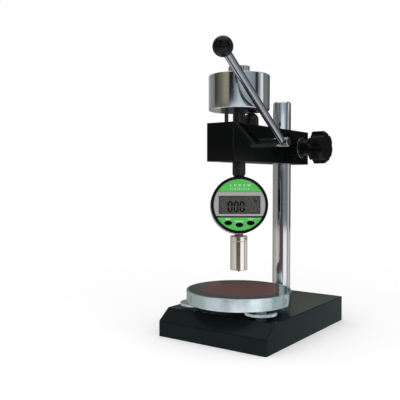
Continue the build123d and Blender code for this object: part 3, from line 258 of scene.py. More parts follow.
@dataclass(frozen=True)
class Enamel(Finish):
    """Stoved enamel with a faint orange peel."""

    peel_scale: float = 420.0
    peel_depth: float = 0.00002
    peel_strength: float = 0.35
    dust_scale: float = 2600.0
    dust_share: float = 0.06

    def surface(self, bench: NodeBench) -> dict[str, Value]:
        """Even black with the peel as a slight bump and a little dust.

        Args:
            bench: the material's bench.

        Returns:
            The shader's varied sockets.
        """
        sockets = super().surface(bench)
        place = bench.coordinates()
        peel = bench.noise(place, self.peel_scale, 1.0)
        sockets["Normal"] = bench.bump(peel, self.peel_depth, self.peel_strength)
        sockets["Roughness"] = self.roughness + self.dust_share * bench.noise(place, self.dust_scale, 2.0)
        return sockets


@dataclass(frozen=True)
class TurnedMetal(Finish):
    """Metal with the fine lines of turning or grinding."""

    lay: Lay = Lay.ROUND_UPRIGHT
    line_depth: float = 0.000002
    line_share: float = 0.3
    line_strength: float = 0.25
    stain_scale: float = 25.0
    stain_share: float = 0.03
    ripple_scale: float = 170.0
    ripple_depth: float = 0.0

    def surface(self, bench: NodeBench) -> dict[str, Value]:
        """Fine lines, soft staining and a slight unevenness of the plating.

        Args:
            bench: the material's bench.

        Returns:
            The shader's varied sockets.
        """
        sockets = super().surface(bench)
        lines = bench.noise(bench.coordinates(self.lay.value), 1.0, 2.0)
        stain = bench.noise(bench.coordinates(), self.stain_scale)
        height = self.line_depth * lines
        if self.ripple_depth:
            height = height + self.ripple_depth * bench.noise(bench.coordinates(), self.ripple_scale, 2.0)
        worn = 1.0 - self.line_share + 2.0 * self.line_share * lines
        sockets["Roughness"] = self.roughness * worn + self.stain_share * stain
        sockets["Normal"] = bench.bump(height, 1.0, self.line_strength)
        return sockets


@dataclass(frozen=True)
class Moulded(Finish):
    """Moulded plastic or rubber with a fine grain."""

    grain_scale: float = 2200.0
    grain_depth: float = 0.00003
    grain_strength: float = 0.3

    def surface(self, bench: NodeBench) -> dict[str, Value]:
        """Grain in the normal and the roughness.

        Args:
            bench: the material's bench.

        Returns:
            The shader's varied sockets.
        """
        sockets = super().surface(bench)
        grain = bench.noise(bench.coordinates(), self.grain_scale, 2.0)
        sockets["Normal"] = bench.bump(grain, self.grain_depth, self.grain_strength)
        sockets["Roughness"] = self.roughness * (0.85 + 0.3 * grain)
        return sockets


@dataclass(frozen=True)
class TintedPlate(Finish):
    """Dark tinted glass with a band of another tint round its edge."""

    edge_colour: Triple = (0.02, 0.04, 0.03)
    shift_to_middle: Triple = (0.0, 0.031, -0.0478)
    edge_start: float = 0.0412
    edge_end: float = 0.0452
    wipe_stretch: Triple = (25.0, 160.0, 25.0)
    wipe_share: float = 0.03

    def surface(self, bench: NodeBench) -> dict[str, Value]:
        """The edge's tint and faint wiping marks.

        Args:
            bench: the material's bench.

        Returns:
            The shader's varied sockets.
        """
        sockets = super().surface(bench)
        reach = bench.length(bench.coordinates(shift=self.shift_to_middle))
        rim = bench.soft_step(reach, self.edge_start, self.edge_end)
        sockets["Base Color"] = bench.blend(rim, sockets["Base Color"], rgba(self.edge_colour))
        wipes = bench.noise(bench.coordinates(self.wipe_stretch), 1.0)
        sockets["Roughness"] = self.roughness + self.wipe_share * wipes
        return sockets


@dataclass(frozen=True)
class CircuitBoard(Finish):
    """Green board with tracks and pads."""

    track_colour: Triple = (0.10, 0.42, 0.20)
    track_scale: float = 220.0
    track_depth: float = 0.00003
    track_strength: float = 0.4

    def surface(self, bench: NodeBench) -> dict[str, Value]:
        """Squared tracks lighter than the lacquer.

        Args:
            bench: the material's bench.

        Returns:
            The shader's varied sockets.
        """
        sockets = super().surface(bench)
        cells = bench.node("ShaderNodeTexBrick", {"offset": 0.5}, {
            "Vector": bench.coordinates(turn=-FACE_TURN), "Scale": self.track_scale, "Mortar Size": 0.03})
        tracks = cells.other("Fac")
        sockets["Base Color"] = bench.blend(tracks, rgba(self.colour), rgba(self.track_colour))
        sockets["Normal"] = bench.bump(tracks, self.track_depth, self.track_strength)
        return sockets


class Finishes(Enum):
    """The finishes of this tester."""

    BASE_ENAMEL = Enamel("base_enamel", "black_enamel", (0.0058, 0.0095, 0.011), 0.17, specular=0.12)
    ARM_ENAMEL = Enamel("arm_enamel", "black_enamel", (0.0022, 0.0026, 0.0026), 0.06, specular=0.2,
                        peel_depth=0.000006)
    CHROME = TurnedMetal("polished_chrome", "chromed_steel", (0.78, 0.80, 0.83), 0.07, 1.0, mottle=0.02)
    # A darker copy of the polished chrome, for the lever rod, its cross shaft and the clamp washer: painted
    # shade, standing in for the darker surroundings that these parts reflect.
    CHROME_ACROSS_PAINTED_SHADE = TurnedMetal("polished_chrome_across", "chromed_steel", (0.35, 0.365, 0.40), 0.11, 1.0,
                                mottle=0.03, lay=Lay.ROUND_ACROSS)
    PLATED = TurnedMetal("plated_steel", "plated_steel", (0.70, 0.75, 0.79), 0.26, 1.0, mottle=0.06)
    RIM_PLATE = TurnedMetal("bright_plate", "plated_steel", (0.78, 0.84, 0.87), 0.14, 1.0, mottle=0.12,
                            mottle_scale=260.0, ripple_depth=0.00012)
    BRIGHT_SCREW = TurnedMetal("bright_screw", "plated_steel", (0.92, 0.86, 0.88), 0.3, 0.7, mottle=0.05,
                               lay=Lay.EVEN)
    DARK_STEEL = TurnedMetal("blackened_steel", "dark_steel", (0.035, 0.033, 0.036), 0.3, 0.6, mottle=0.2)
    # Near-black steel for the shaft's outer bush; the same finish also dresses the sheets in the rim screws'
    # sockets and gaps, which are painted shade.
    OILED_STEEL_AND_PAINTED_SHADE = Finish("oiled_black_steel", "dark_steel", (0.003, 0.003, 0.003), 0.2, specular=0.15)
    BRONZE = TurnedMetal("bush_bronze", "bronze", (0.48, 0.32, 0.14), 0.35, 1.0, mottle=0.15)
    GLASS = TintedPlate("platform_glass", "green_glass", (0.115, 0.041, 0.036), 0.03,
                        edge_colour=(0.001, 0.055, 0.040))
    BALL = Finish("polished_ball", "ball_plastic", (0.003, 0.003, 0.004), 0.12, specular=0.22)
    KNOB = Moulded("satin_knob", "knob_plastic", (0.0036, 0.004, 0.0044), 0.28, specular=0.14)
    CASE = TurnedMetal("turned_case", "case_metal", (0.60, 0.58, 0.60), 0.42, 0.7, mottle=0.05, lay=Lay.EVEN)
    BEZEL = Moulded("satin_bezel", "bezel_plastic", (0.003, 0.003, 0.0035), 0.25, specular=0.25)
    FACE = Moulded("green_face_film", "face_print", (0.078, 0.50, 0.082), 0.5, mottle=0.03,
                   grain_depth=0.00001)
    FACE_GREY = Moulded("grey_face_film", "face_print", (0.36, 0.36, 0.355), 0.5, mottle=0.03,
                        grain_depth=0.00001)
    FACE_DARK = Moulded("black_face_ink", "face_print", (0.002, 0.002, 0.002), 0.5, specular=0.05,
                        mottle=0.05, grain_depth=0.00001)
    FACE_WHITE = Moulded("white_face_ink", "face_print", (0.85, 0.87, 0.85), 0.5, mottle=0.02,
                         grain_depth=0.00001)
    WINDOW = Finish("display_window", "window_plastic", (0.03, 0.03, 0.03), 0.1, alpha=0.12)
    DISPLAY = Moulded("display_glass", "display", (0.104, 0.103, 0.089), 0.35, specular=0.15, mottle=0.03)
    SEGMENTS = Finish("display_segments", "display", (0.002, 0.002, 0.003), 0.4, specular=0.1)
    BOARD = CircuitBoard("circuit_board", "board", (0.02, 0.16, 0.06), 0.35)
    BUTTON = Moulded("button_rubber", "button_rubber", (0.002, 0.002, 0.003), 0.5, specular=0.1)
    NECK = TurnedMetal("threaded_neck", "foot_nickel", (0.22, 0.21, 0.19), 0.3, 1.0, mottle=0.3,
                       mottle_scale=900.0)
    NICKEL = TurnedMetal("satin_nickel", "foot_nickel", (0.96, 0.92, 0.87), 0.11, 1.0, specular=0.3,
                         mottle=0.03)
    HARD_STEEL = TurnedMetal("ground_steel", "hard_steel", (0.60, 0.61, 0.62), 0.2, 1.0, mottle=0.05)
    COPPER = TurnedMetal("wound_copper", "copper_coil", (0.56, 0.26, 0.13), 0.3, 1.0, mottle=0.1)
    # A far darker copy of the ground steel, for the indenter and its pin: painted shade under the gauge's
    # foot.
    POINT_STEEL_PAINTED_SHADE = TurnedMetal("indenter_steel", "hard_steel", (0.10, 0.10, 0.10), 0.4, 1.0, mottle=0.05)
    NYLON = Finish("liner_nylon", "liner_nylon", (0.66, 0.64, 0.58), 0.55)


@dataclass(frozen=True)
class Box:
    """Where a node of the frame lies."""

    low: Vector
    high: Vector

    @classmethod
    def of(cls, node: str) -> "Box":
        """The box of a node."""
        return cls(*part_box(node))

    @property
    def middle(self) -> Vector:
        """The middle."""
        return (self.low + self.high) / 2

    @property
    def radius(self) -> float:
        """Half the width, the radius of an upright round piece."""
        return (self.high.x - self.low.x) / 2

    @property
    def lying_radius(self) -> float:
        """Half the height, the radius of a round piece that lies along X."""
        return (self.high.z - self.low.z) / 2


class Workpiece:
    """One mesh, shaped with Blender's own operators."""

    def __init__(self, name: str, thing: bpy.types.Object) -> None:
        """Names the object and its mesh."""
        self.thing = thing
        thing.name = name
        thing.data.name = name

    @classmethod
    def fresh(cls, name: str) -> "Workpiece":
        """Takes up the primitive that was just added, with its place in its mesh."""
        bpy.ops.object.transform_apply(location=True, rotation=True, scale=True)
        return cls(name, bpy.context.object)

    @classmethod
    def cube(cls, name: str, low: Vector, high: Vector) -> "Workpiece":
        """A block between two corners.

        Args:
            name: the piece's name.
            low: its lower corner.
            high: its upper corner.

        Returns:
            The piece.
        """
        bpy.ops.object.select_all(action="DESELECT")
        bpy.ops.mesh.primitive_cube_add(size=1.0, location=(low + high) / 2, scale=high - low)
        return cls.fresh(name)

    @classmethod
    def bar(cls, name: str, radius: float, start: Vector, end: Vector, sides: int = 64) -> "Workpiece":
        """A round bar between two points.

        Args:
            name: the piece's name.
            radius: its radius.
            start: the middle of its first end.
            end: the middle of its other end.
            sides: steps round its axis.

        Returns:
            The piece.
        """
        bpy.ops.object.select_all(action="DESELECT")
        run = end - start
        turn = run.to_track_quat("Z", "Y").to_euler()
        bpy.ops.mesh.primitive_cylinder_add(vertices=sides, radius=radius, depth=run.length,
                                            location=(start + end) / 2, rotation=turn)
        return cls.fresh(name)

    @classmethod
    def post(cls, name: str, radius: float, spot: Vector, low: float, high: float,
             sides: int = 64) -> "Workpiece":
        """An upright round bar at a spot, from one height to another."""
        return cls.bar(name, radius, Vector((spot.x, spot.y, low)), Vector((spot.x, spot.y, high)), sides)

    @classmethod
    def beam(cls, name: str, radius: float, axis: Vector, start: float, end: float,
             sides: int = 64) -> "Workpiece":
        """A round bar along X through a point of its axis, from one x to another."""
        return cls.bar(name, radius, Vector((start, axis.y, axis.z)), Vector((end, axis.y, axis.z)), sides)

    @classmethod
    def spoke(cls, name: str, radius: float, turn: float, height: float, reach: Point,
              sides: int = 40) -> "Workpiece":
        """A level round bar that points away from the upright axis.

        Args:
            name: the piece's name.
            radius: its radius.
            turn: its direction in radians from +X.
            height: how high it lies.
            reach: how far from the axis it starts and ends.
            sides: steps round its own axis.

        Returns:
            The piece.
        """
        outward = Vector((math.cos(turn), math.sin(turn), 0.0))
        start, end = (outward * distance + UP * height for distance in reach)
        return cls.bar(name, radius, start, end, sides)

    @classmethod
    def turned(cls, name: str, outline: Outline, sides: int = 128, closed: bool = False) -> "Workpiece":
        """A turned piece about the upright axis through the origin.

        Args:
            name: the piece's name.
            outline: points of radius and height.
            sides: steps round the axis.
            closed: True where the outline runs back to its first point, as on a ring.

        Returns:
            The piece.
        """
        points = [Vector((radius, 0.0, height)) for radius, height in outline]
        if closed:
            points.append(points[0])
        bpy.ops.object.select_all(action="DESELECT")
        bpy.ops.mesh.primitive_plane_add(size=MM, location=(0.0, 0.0, 0.0))
        piece = cls.fresh(name)
        with piece.editing():
            bpy.ops.mesh.select_mode(type="VERT")
            bpy.ops.mesh.select_all(action="SELECT")
            bpy.ops.mesh.merge(type="CENTER")
            bpy.ops.transform.translate(value=points[0])
            for before, after in zip(points, points[1:]):
                bpy.ops.mesh.extrude_region_move(TRANSFORM_OT_translate={"value": after - before})
            bpy.ops.mesh.select_all(action="SELECT")
            bpy.ops.mesh.spin(steps=sides, angle=math.tau, center=(0.0, 0.0, 0.0), axis=UP,
                              use_auto_merge=True)
            piece.clean()
        return piece

    @classmethod
    def lettering(cls, name: str, text: str, height: float, depth: float) -> "Workpiece":
        """Raised lettering in the XZ plane, centred, seen from the front.

        Args:
            name: the piece's name.
            text: what it says.
            height: the letters' size.
            depth: how far they stand out to each side.

        Returns:
            The piece.
        """
        bpy.ops.object.select_all(action="DESELECT")
        bpy.ops.object.text_add(location=(0.0, 0.0, 0.0))
        words = bpy.context.object.data
        words.body, words.size, words.extrude = text, height, depth
        words.align_x = words.align_y = "CENTER"
        bpy.ops.object.convert(target="MESH")
        return cls(name, bpy.context.object).place(Matrix.Rotation(math.radians(90.0), 4, "X"))

    def activate(self) -> None:
        """Selects this piece alone."""
        bpy.ops.object.select_all(action="DESELECT")
        self.thing.select_set(True)
        bpy.context.view_layer.objects.active = self.thing

    @contextmanager
    def editing(self) -> Iterator[None]:
        """Edit mode on this piece alone."""
        self.activate()
        bpy.ops.object.mode_set(mode="EDIT")
        yield
        bpy.ops.object.mode_set(mode="OBJECT")

    @staticmethod
    def clean() -> None:
        """Merges doubles and turns the faces outwards, in edit mode."""
        bpy.ops.mesh.select_all(action="SELECT")
        bpy.ops.mesh.remove_doubles(threshold=0.0015 * MM)
        bpy.ops.mesh.normals_make_consistent(inside=False)

    def pick(self, kind: str, test: Callable[[Vector, Vector], bool]) -> None:
        """Selects points, edges or faces, in edit mode.

        Args:
            kind: VERT, EDGE or FACE.
            test: says from an element's centre and its direction or normal whether it is wanted.
        """
        bpy.ops.mesh.select_mode(type=kind)
        bpy.ops.mesh.select_all(action="DESELECT")
        net = bmesh.from_edit_mesh(self.thing.data)
        if kind == "VERT":
            marks = [(point, point.co, point.normal) for point in net.verts]
        elif kind == "EDGE":
            marks = [(edge, (edge.verts[0].co + edge.verts[1].co) / 2,
                      (edge.verts[1].co - edge.verts[0].co).normalized()) for edge in net.edges]
        else:
            marks = [(face, face.calc_center_median(), face.normal) for face in net.faces]
        for element, centre, direction in marks:
            if test(centre, direction):
                element.select = True
        net.select_flush_mode()
        bmesh.update_edit_mesh(self.thing.data)

    def place(self, matrix: Matrix) -> "Workpiece":
        """Turns and moves the piece and keeps the result in its mesh.

        Args:
            matrix: the turn and the move.

        Returns:
            The piece.
        """
        self.activate()
        self.thing.matrix_world = matrix @ self.thing.matrix_world
        bpy.ops.object.transform_apply(location=True, rotation=True, scale=True)
        return self

    def move(self, x: float = 0.0, y: float = 0.0, z: float = 0.0) -> "Workpiece":
        """Moves the piece."""
        return self.place(Matrix.Translation((x, y, z)))

    def lie(self, x: float, axis: Vector) -> "Workpiece":
        """Lays an upright piece down along +X on an axis, with its foot at x."""
        spot = Matrix.Translation((x, axis.y, axis.z))
        return self.place(spot @ Matrix.Rotation(math.radians(90.0), 4, "Y"))

    def join(self, *others: "Workpiece") -> "Workpiece":
        """Takes other pieces into this one.

        Args:
            *others: the pieces.

        Returns:
            This piece.
        """
        self.activate()
        for other in others:
            other.thing.select_set(True)
        bpy.ops.object.join()
        return self

    def modify(self, kind: str, **settings: object) -> "Workpiece":
        """Adds a modifier and applies it.

        Args:
            kind: the modifier's type.
            **settings: its settings.

        Returns:
            The piece.
        """
        modifier = self.thing.modifiers.new(kind.lower(), kind)
        for name, value in settings.items():
            setattr(modifier, name, value)
        self.activate()
        bpy.ops.object.modifier_apply(modifier=modifier.name)
        return self

    def cut(self, *cutters: "Workpiece", operation: str = "DIFFERENCE") -> "Workpiece":
        """Cuts other pieces out of this one, and throws them away.

        Args:
            *cutters: the other pieces.
            operation: how a piece is combined with this one.

        Returns:
            This piece.
        """
        for cutter in cutters:
            self.modify("BOOLEAN", operation=operation, object=cutter.thing, solver="EXACT")
            bpy.data.objects.remove(cutter.thing)
        return self

    def add(self, *others: "Workpiece") -> "Workpiece":
        """Fuses other pieces with this one."""
        return self.cut(*others, operation="UNION")

    def ease(self, width: float, segments: int = 3, angle: float = 40.0) -> "Workpiece":
        """Rounds every edge sharper than an angle in degrees."""
        return self.modify("BEVEL", width=width, segments=segments, limit_method="ANGLE",
                           angle_limit=math.radians(angle), harden_normals=False)

    def knurl(self, beyond: float, teeth: int, grip: float) -> "Workpiece":
        """Draws in every second line of a turned rim, while the piece still stands at the origin.

        Args:
            beyond: the radius beyond which points belong to the rim.
            teeth: the number of teeth, half that of the turned piece's sides.
            grip: what is left of the radius between the teeth.

        Returns:
            The piece.
        """
        def between(centre: Vector, direction: Vector) -> bool:
            """True for a point on every second line of the rim."""
            step = math.atan2(centre.y, centre.x) / math.tau * 2 * teeth
            return math.hypot(centre.x, centre.y) > beyond and round(step) % 2 == 1

        with self.editing():
            self.pick("VERT", between)
            bpy.ops.transform.resize(value=(grip, grip, 1.0), center_override=(0.0, 0.0, 0.0))
        return self

    def finish(self, finish: Finishes, body: str, *nodes: str, smooth: float = 32.0) -> None:
        """Shades the piece, dresses it and seats it on its body.

        Args:
            finish: its finish.
            body: the body that it rides on.
            *nodes: the nodes that it stands for.
            smooth: the angle in degrees up to which neighbouring faces shade as one.
        """
        with self.editing():
            self.clean()
        self.activate()
        bpy.ops.object.shade_smooth_by_angle(angle=math.radians(smooth))
        self.modify("WEIGHTED_NORMAL", mode="FACE_AREA", weight=50, keep_sharp=True)
        self.thing.data.materials.clear()
        self.thing.data.materials.append(finish.value.material())
        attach(self.thing, body)
        if nodes:
            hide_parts(*nodes)
        LOG.info("%s: %d faces on %s", self.thing.name, len(self.thing.data.polygons), body)


def arc(centre: Point, radius: float, start: float, end: float, steps: int = 8) -> list[Point]:
    """Points along an arc of an outline.

    Args:
        centre: the arc's middle.
        radius: its radius.
        start: the angle in degrees where it starts.
        end: the angle in degrees where it ends.
        steps: how many parts it has.

    Returns:
        The points.
    """
    angles = [math.radians(start + (end - start) * step / steps) for step in range(steps + 1)]
    return [(centre[0] + radius * math.cos(angle), centre[1] + radius * math.sin(angle)) for angle in angles]


def eased_block(radius: float, low: float, high: float, edge: float, bore: float = 0.0) -> Outline:
    """Outline of a turned block with eased outer edges.

    Args:
        radius: the block's radius.
        low: its lower end.
        high: its upper end.
        edge: the radius of its edges.
        bore: the radius of its bore, for a closed outline.

    Returns:
        The outline.
    """
    lower = arc((radius - edge, low + edge), edge, -90.0, 0.0, 4)
    upper = arc((radius - edge, high - edge), edge, 0.0, 90.0, 4)
    return [(bore, low), *lower, *upper, (bore, high)]


@dataclass
class Stand:
    """Base casting, column and levelling platform."""

    front_edge_height: float = 15.5 * MM
    slope_run: float = 16.0 * MM
    wall: float = 8.0 * MM
    top_wall: float = 9.0 * MM
    corner_radius: float = 2.0 * MM
    edge_radius: float = 0.9 * MM
    rib: float = 6.0 * MM
    rib_gap: float = 4.0 * MM
    column_boss_wall: float = 9.0 * MM
    column_floor: float = 4.0 * MM
    bolt_hole_share: float = 0.65
    stud_radius: float = 3.0 * MM
    stud_boss_wall: float = 5.0 * MM
    column_edge: float = 1.6 * MM
    column_ease: float = 0.25 * MM
    platform_edge: float = 0.3 * MM
    platform_ease: float = 0.12 * MM
    platform_rim: float = 2.2 * MM
    glass_edge: float = 0.3 * MM
    rim_screw_turns: tuple[float, ...] = (0.0, 120.0, 240.0)
    rim_hole_radius: float = 2.6 * MM
    rim_screw_radius: float = 1.98 * MM
    rim_screw_drop: float = 6.6 * MM
    rim_screw_length: float = 6.0 * MM
    rim_screw_sink: float = 0.25 * MM
    rim_gap_depth: float = 0.35 * MM
    rim_socket_radius: float = 1.25 * MM
    rim_socket_depth: float = 1.6 * MM
    # How far the painted-shade sheets stand off the rim screws and the walls of their holes.
    shade_sheet_fit: float = 0.01 * MM
    nut_hub_radius: float = 6.0 * MM
    nut_bore: float = 3.05 * MM
    nut_edge: float = 0.4 * MM
    nut_hub_below: float = 2.5 * MM
    nut_hub_above: float = 1.2 * MM
    nut_teeth: int = 72
    nut_grip: float = 0.975
    studs: tuple[str, ...] = ("right", "rear", "left")

    def build(self) -> None:
        """Builds the stand's pieces."""
        self.base()
        self.column()
        self.platform()
        for name in self.studs:
            self.nut(name)

    @staticmethod
    def slope_cut(piece: Workpiece, front: float, height: float, lift: float) -> None:
        """Cuts the front slope off a block.

        Args:
            piece: the block.
            front: the y of the block's front.
            height: the height at which the slope meets it.
            lift: the slope's rise over its run.
        """
        with piece.editing():
            bpy.ops.mesh.select_all(action="SELECT")
            bpy.ops.mesh.bisect(plane_co=(0.0, front, height), plane_no=(0.0, -lift, 1.0), use_fill=True,
                                clear_outer=True)

    def base(self) -> None:
        """Sloped black base, hollow underneath, with ribs and bosses."""
        box, column, bolt = Box.of("base_casting"), Box.of("column"), Box.of("column_bolt")
        lift = (box.high.z - self.front_edge_height) / self.slope_run
        piece = Workpiece.cube("base", box.low, box.high)
        self.slope_cut(piece, box.low.y, self.front_edge_height, lift)
        above = self.front_edge_height / 2
        with piece.editing():
            piece.pick("EDGE", lambda centre, run: abs(run.z) > ALONG)
            bpy.ops.mesh.bevel(offset=self.corner_radius, segments=6, affect="EDGES")
            piece.pick("EDGE", lambda centre, run: centre.z > above and abs(run.z) < ALONG)
            bpy.ops.mesh.bevel(offset=self.edge_radius, segments=4, affect="EDGES")
        piece.cut(self.hollow(box, column, lift))
        top = box.high.z
        hole = bolt.radius * self.bolt_hole_share
        piece.cut(Workpiece.post("column_seat", column.radius, column.middle, column.low.z, top + MM, 96),
                  Workpiece.post("bolt_hole", hole, column.middle, 0.0, top, 40))
        piece.finish(Finishes.BASE_ENAMEL, "stand", "base_casting")

    def hollow(self, box: Box, column: Box, lift: float) -> Workpiece:
        """The room under the base, less its ribs and bosses.

        Args:
            box: where the base lies.
            column: where the column stands.
            lift: the front slope's rise over its run.

        Returns:
            A piece to cut out of the base.
        """
        low, high, rib = box.low, box.high, self.rib / 2
        inner = Vector((self.wall, self.wall, 0.0))
        ceiling = Vector((high.x, high.y, high.z - self.top_wall))
        room = Workpiece.cube("base_hollow", low + inner - UP * MM, ceiling - inner)
        drop = self.top_wall * math.hypot(1.0, lift)
        self.slope_cut(room, low.y, self.front_edge_height - drop, lift)
        across = Box.of("platform_disc").middle.y
        room.cut(
            Workpiece.cube("rib_along", Vector((-rib, low.y, self.rib_gap)), Vector((rib, high.y, high.z))),
            Workpiece.cube("rib_across", Vector((low.x, across - rib, self.rib_gap)),
                           Vector((high.x, across + rib, high.z))),
            Workpiece.post("column_boss", column.radius + self.column_boss_wall, column.middle,
                           column.low.z - self.column_floor, high.z))
        bottom = Box.of("levelling_studs").low.z - self.stud_boss_wall
        boss = self.stud_radius + self.stud_boss_wall
        for name in self.studs:
            spot = Box.of(f"levelling_nut_{name}").middle
            room.cut(Workpiece.post("stud_boss", boss, spot, bottom, high.z, 40))
        return room

    def column(self) -> None:
        """Chromed bar with an eased top."""
        box, edge = Box.of("column"), self.column_edge
        low, high, radius = box.low.z, box.high.z, box.radius
        outline = [(0.0, low), (radius, low), (radius, high - edge), (radius - edge, high), (0.0, high)]
        piece = Workpiece.turned("column_bar", outline, 160).ease(self.column_ease)
        piece.move(y=box.middle.y).finish(Finishes.CHROME, "stand", "column")

    def platform(self) -> None:
        """Plated disc with its glass plate and the screws in its rim."""
        box, glass = Box.of("platform_disc"), Box.of("platform_glass")
        low, high, radius, edge = box.low.z, box.high.z, box.radius, self.platform_edge
        seat = radius - self.platform_rim
        outline = [(0.0, low), (radius - edge, low), (radius, low + edge), (radius, high - edge),
                   (radius - edge, high), (seat, high), (seat, glass.low.z), (0.0, glass.low.z)]
        disc = Workpiece.turned("platform_body", outline, 192).ease(self.platform_ease, 2)
        screws, painted_shade_sheets = self.rim_screws(disc, radius, high - self.rim_screw_drop)
        outline = eased_block(glass.radius, glass.low.z, glass.high.z, self.glass_edge)
        plate = Workpiece.turned("platform_plate", outline, 160)
        for piece in (disc, screws, painted_shade_sheets, plate):
            piece.move(y=box.middle.y)
        disc.finish(Finishes.RIM_PLATE, "stand", "platform_disc")
        screws.finish(Finishes.BRIGHT_SCREW, "stand", "platform_rim_screws")
        # Near-black sheets in the rim screws' sockets and gaps: painted shade.
        painted_shade_sheets.finish(Finishes.OILED_STEEL_AND_PAINTED_SHADE, "stand")
        plate.finish(Finishes.GLASS, "stand", "platform_glass")

    def rim_screws(self, disc: Workpiece, radius: float, height: float) -> tuple[Workpiece, Workpiece]:
        """Sinks socket screws into the platform's rim.

        Args:
            disc: the platform, about the upright axis.
            radius: its radius.
            height: how high the screws lie.

        Returns:
            The screws, and the near-black sheets in their sockets and in the gaps round them, which stand in
            for the shade in those recesses: painted shade.
        """
        face, fit = radius - self.rim_screw_sink, self.shade_sheet_fit
        inner, floor = face - self.rim_screw_length, face - self.rim_socket_depth
        socket_end, seat_end = floor + self.rim_socket_depth / 2, face - self.rim_gap_depth
        screws, painted_shade_sheets = [], []
        for degrees in self.rim_screw_turns:
            spoke = partial(Workpiece.spoke, turn=math.radians(degrees), height=height)
            disc.cut(spoke("rim_hole", self.rim_hole_radius, reach=(inner, radius + MM)))
            screw = spoke("rim_screw", self.rim_screw_radius, reach=(inner, face))
            screws.append(screw.cut(spoke("rim_key", self.rim_socket_radius, reach=(floor, radius), sides=6)))
            # Near-black sheet at the bottom of each hex socket: painted shade.
            painted_shade_sheets.append(spoke("rim_socket", self.rim_socket_radius - fit, reach=(floor + fit, socket_end),
                                 sides=6))
            # Near-black ring in the gap round each screw: painted shade.
            seat = spoke("rim_seat", self.rim_hole_radius - fit, reach=(inner + fit, seat_end))
            bore = spoke("rim_seat_bore", self.rim_screw_radius + fit, reach=(inner, radius))
            painted_shade_sheets.append(seat.cut(bore))
        return screws[0].join(*screws[1:]), painted_shade_sheets[0].join(*painted_shade_sheets[1:])

    def nut(self, name: str) -> None:
        """Levelling nut with a straight knurl round its edge.

        Args:
            name: the stud that it turns on.
        """
        box = Box.of(f"levelling_nut_{name}")
        low, high, radius, middle = box.low.z, box.high.z, box.radius, box.middle
        hub, bore, edge = self.nut_hub_radius, self.nut_bore, self.nut_edge
        bottom, top = low + self.nut_hub_below, high - self.nut_hub_above
        outline = [(bore, low), (hub, low), (hub, bottom), (radius - edge, bottom), (radius, bottom + edge),
                   (radius, top - edge), (radius - edge, top), (hub, top), (hub, high), (bore, high)]
        piece = Workpiece.turned(f"levelling_nut_{name}_body", outline, 2 * self.nut_teeth, closed=True)
        piece.knurl(radius - edge / 2, self.nut_teeth, self.nut_grip).move(middle.x, middle.y)
        piece.finish(Finishes.PLATED, f"nut_{name}", f"levelling_nut_{name}", smooth=25.0)


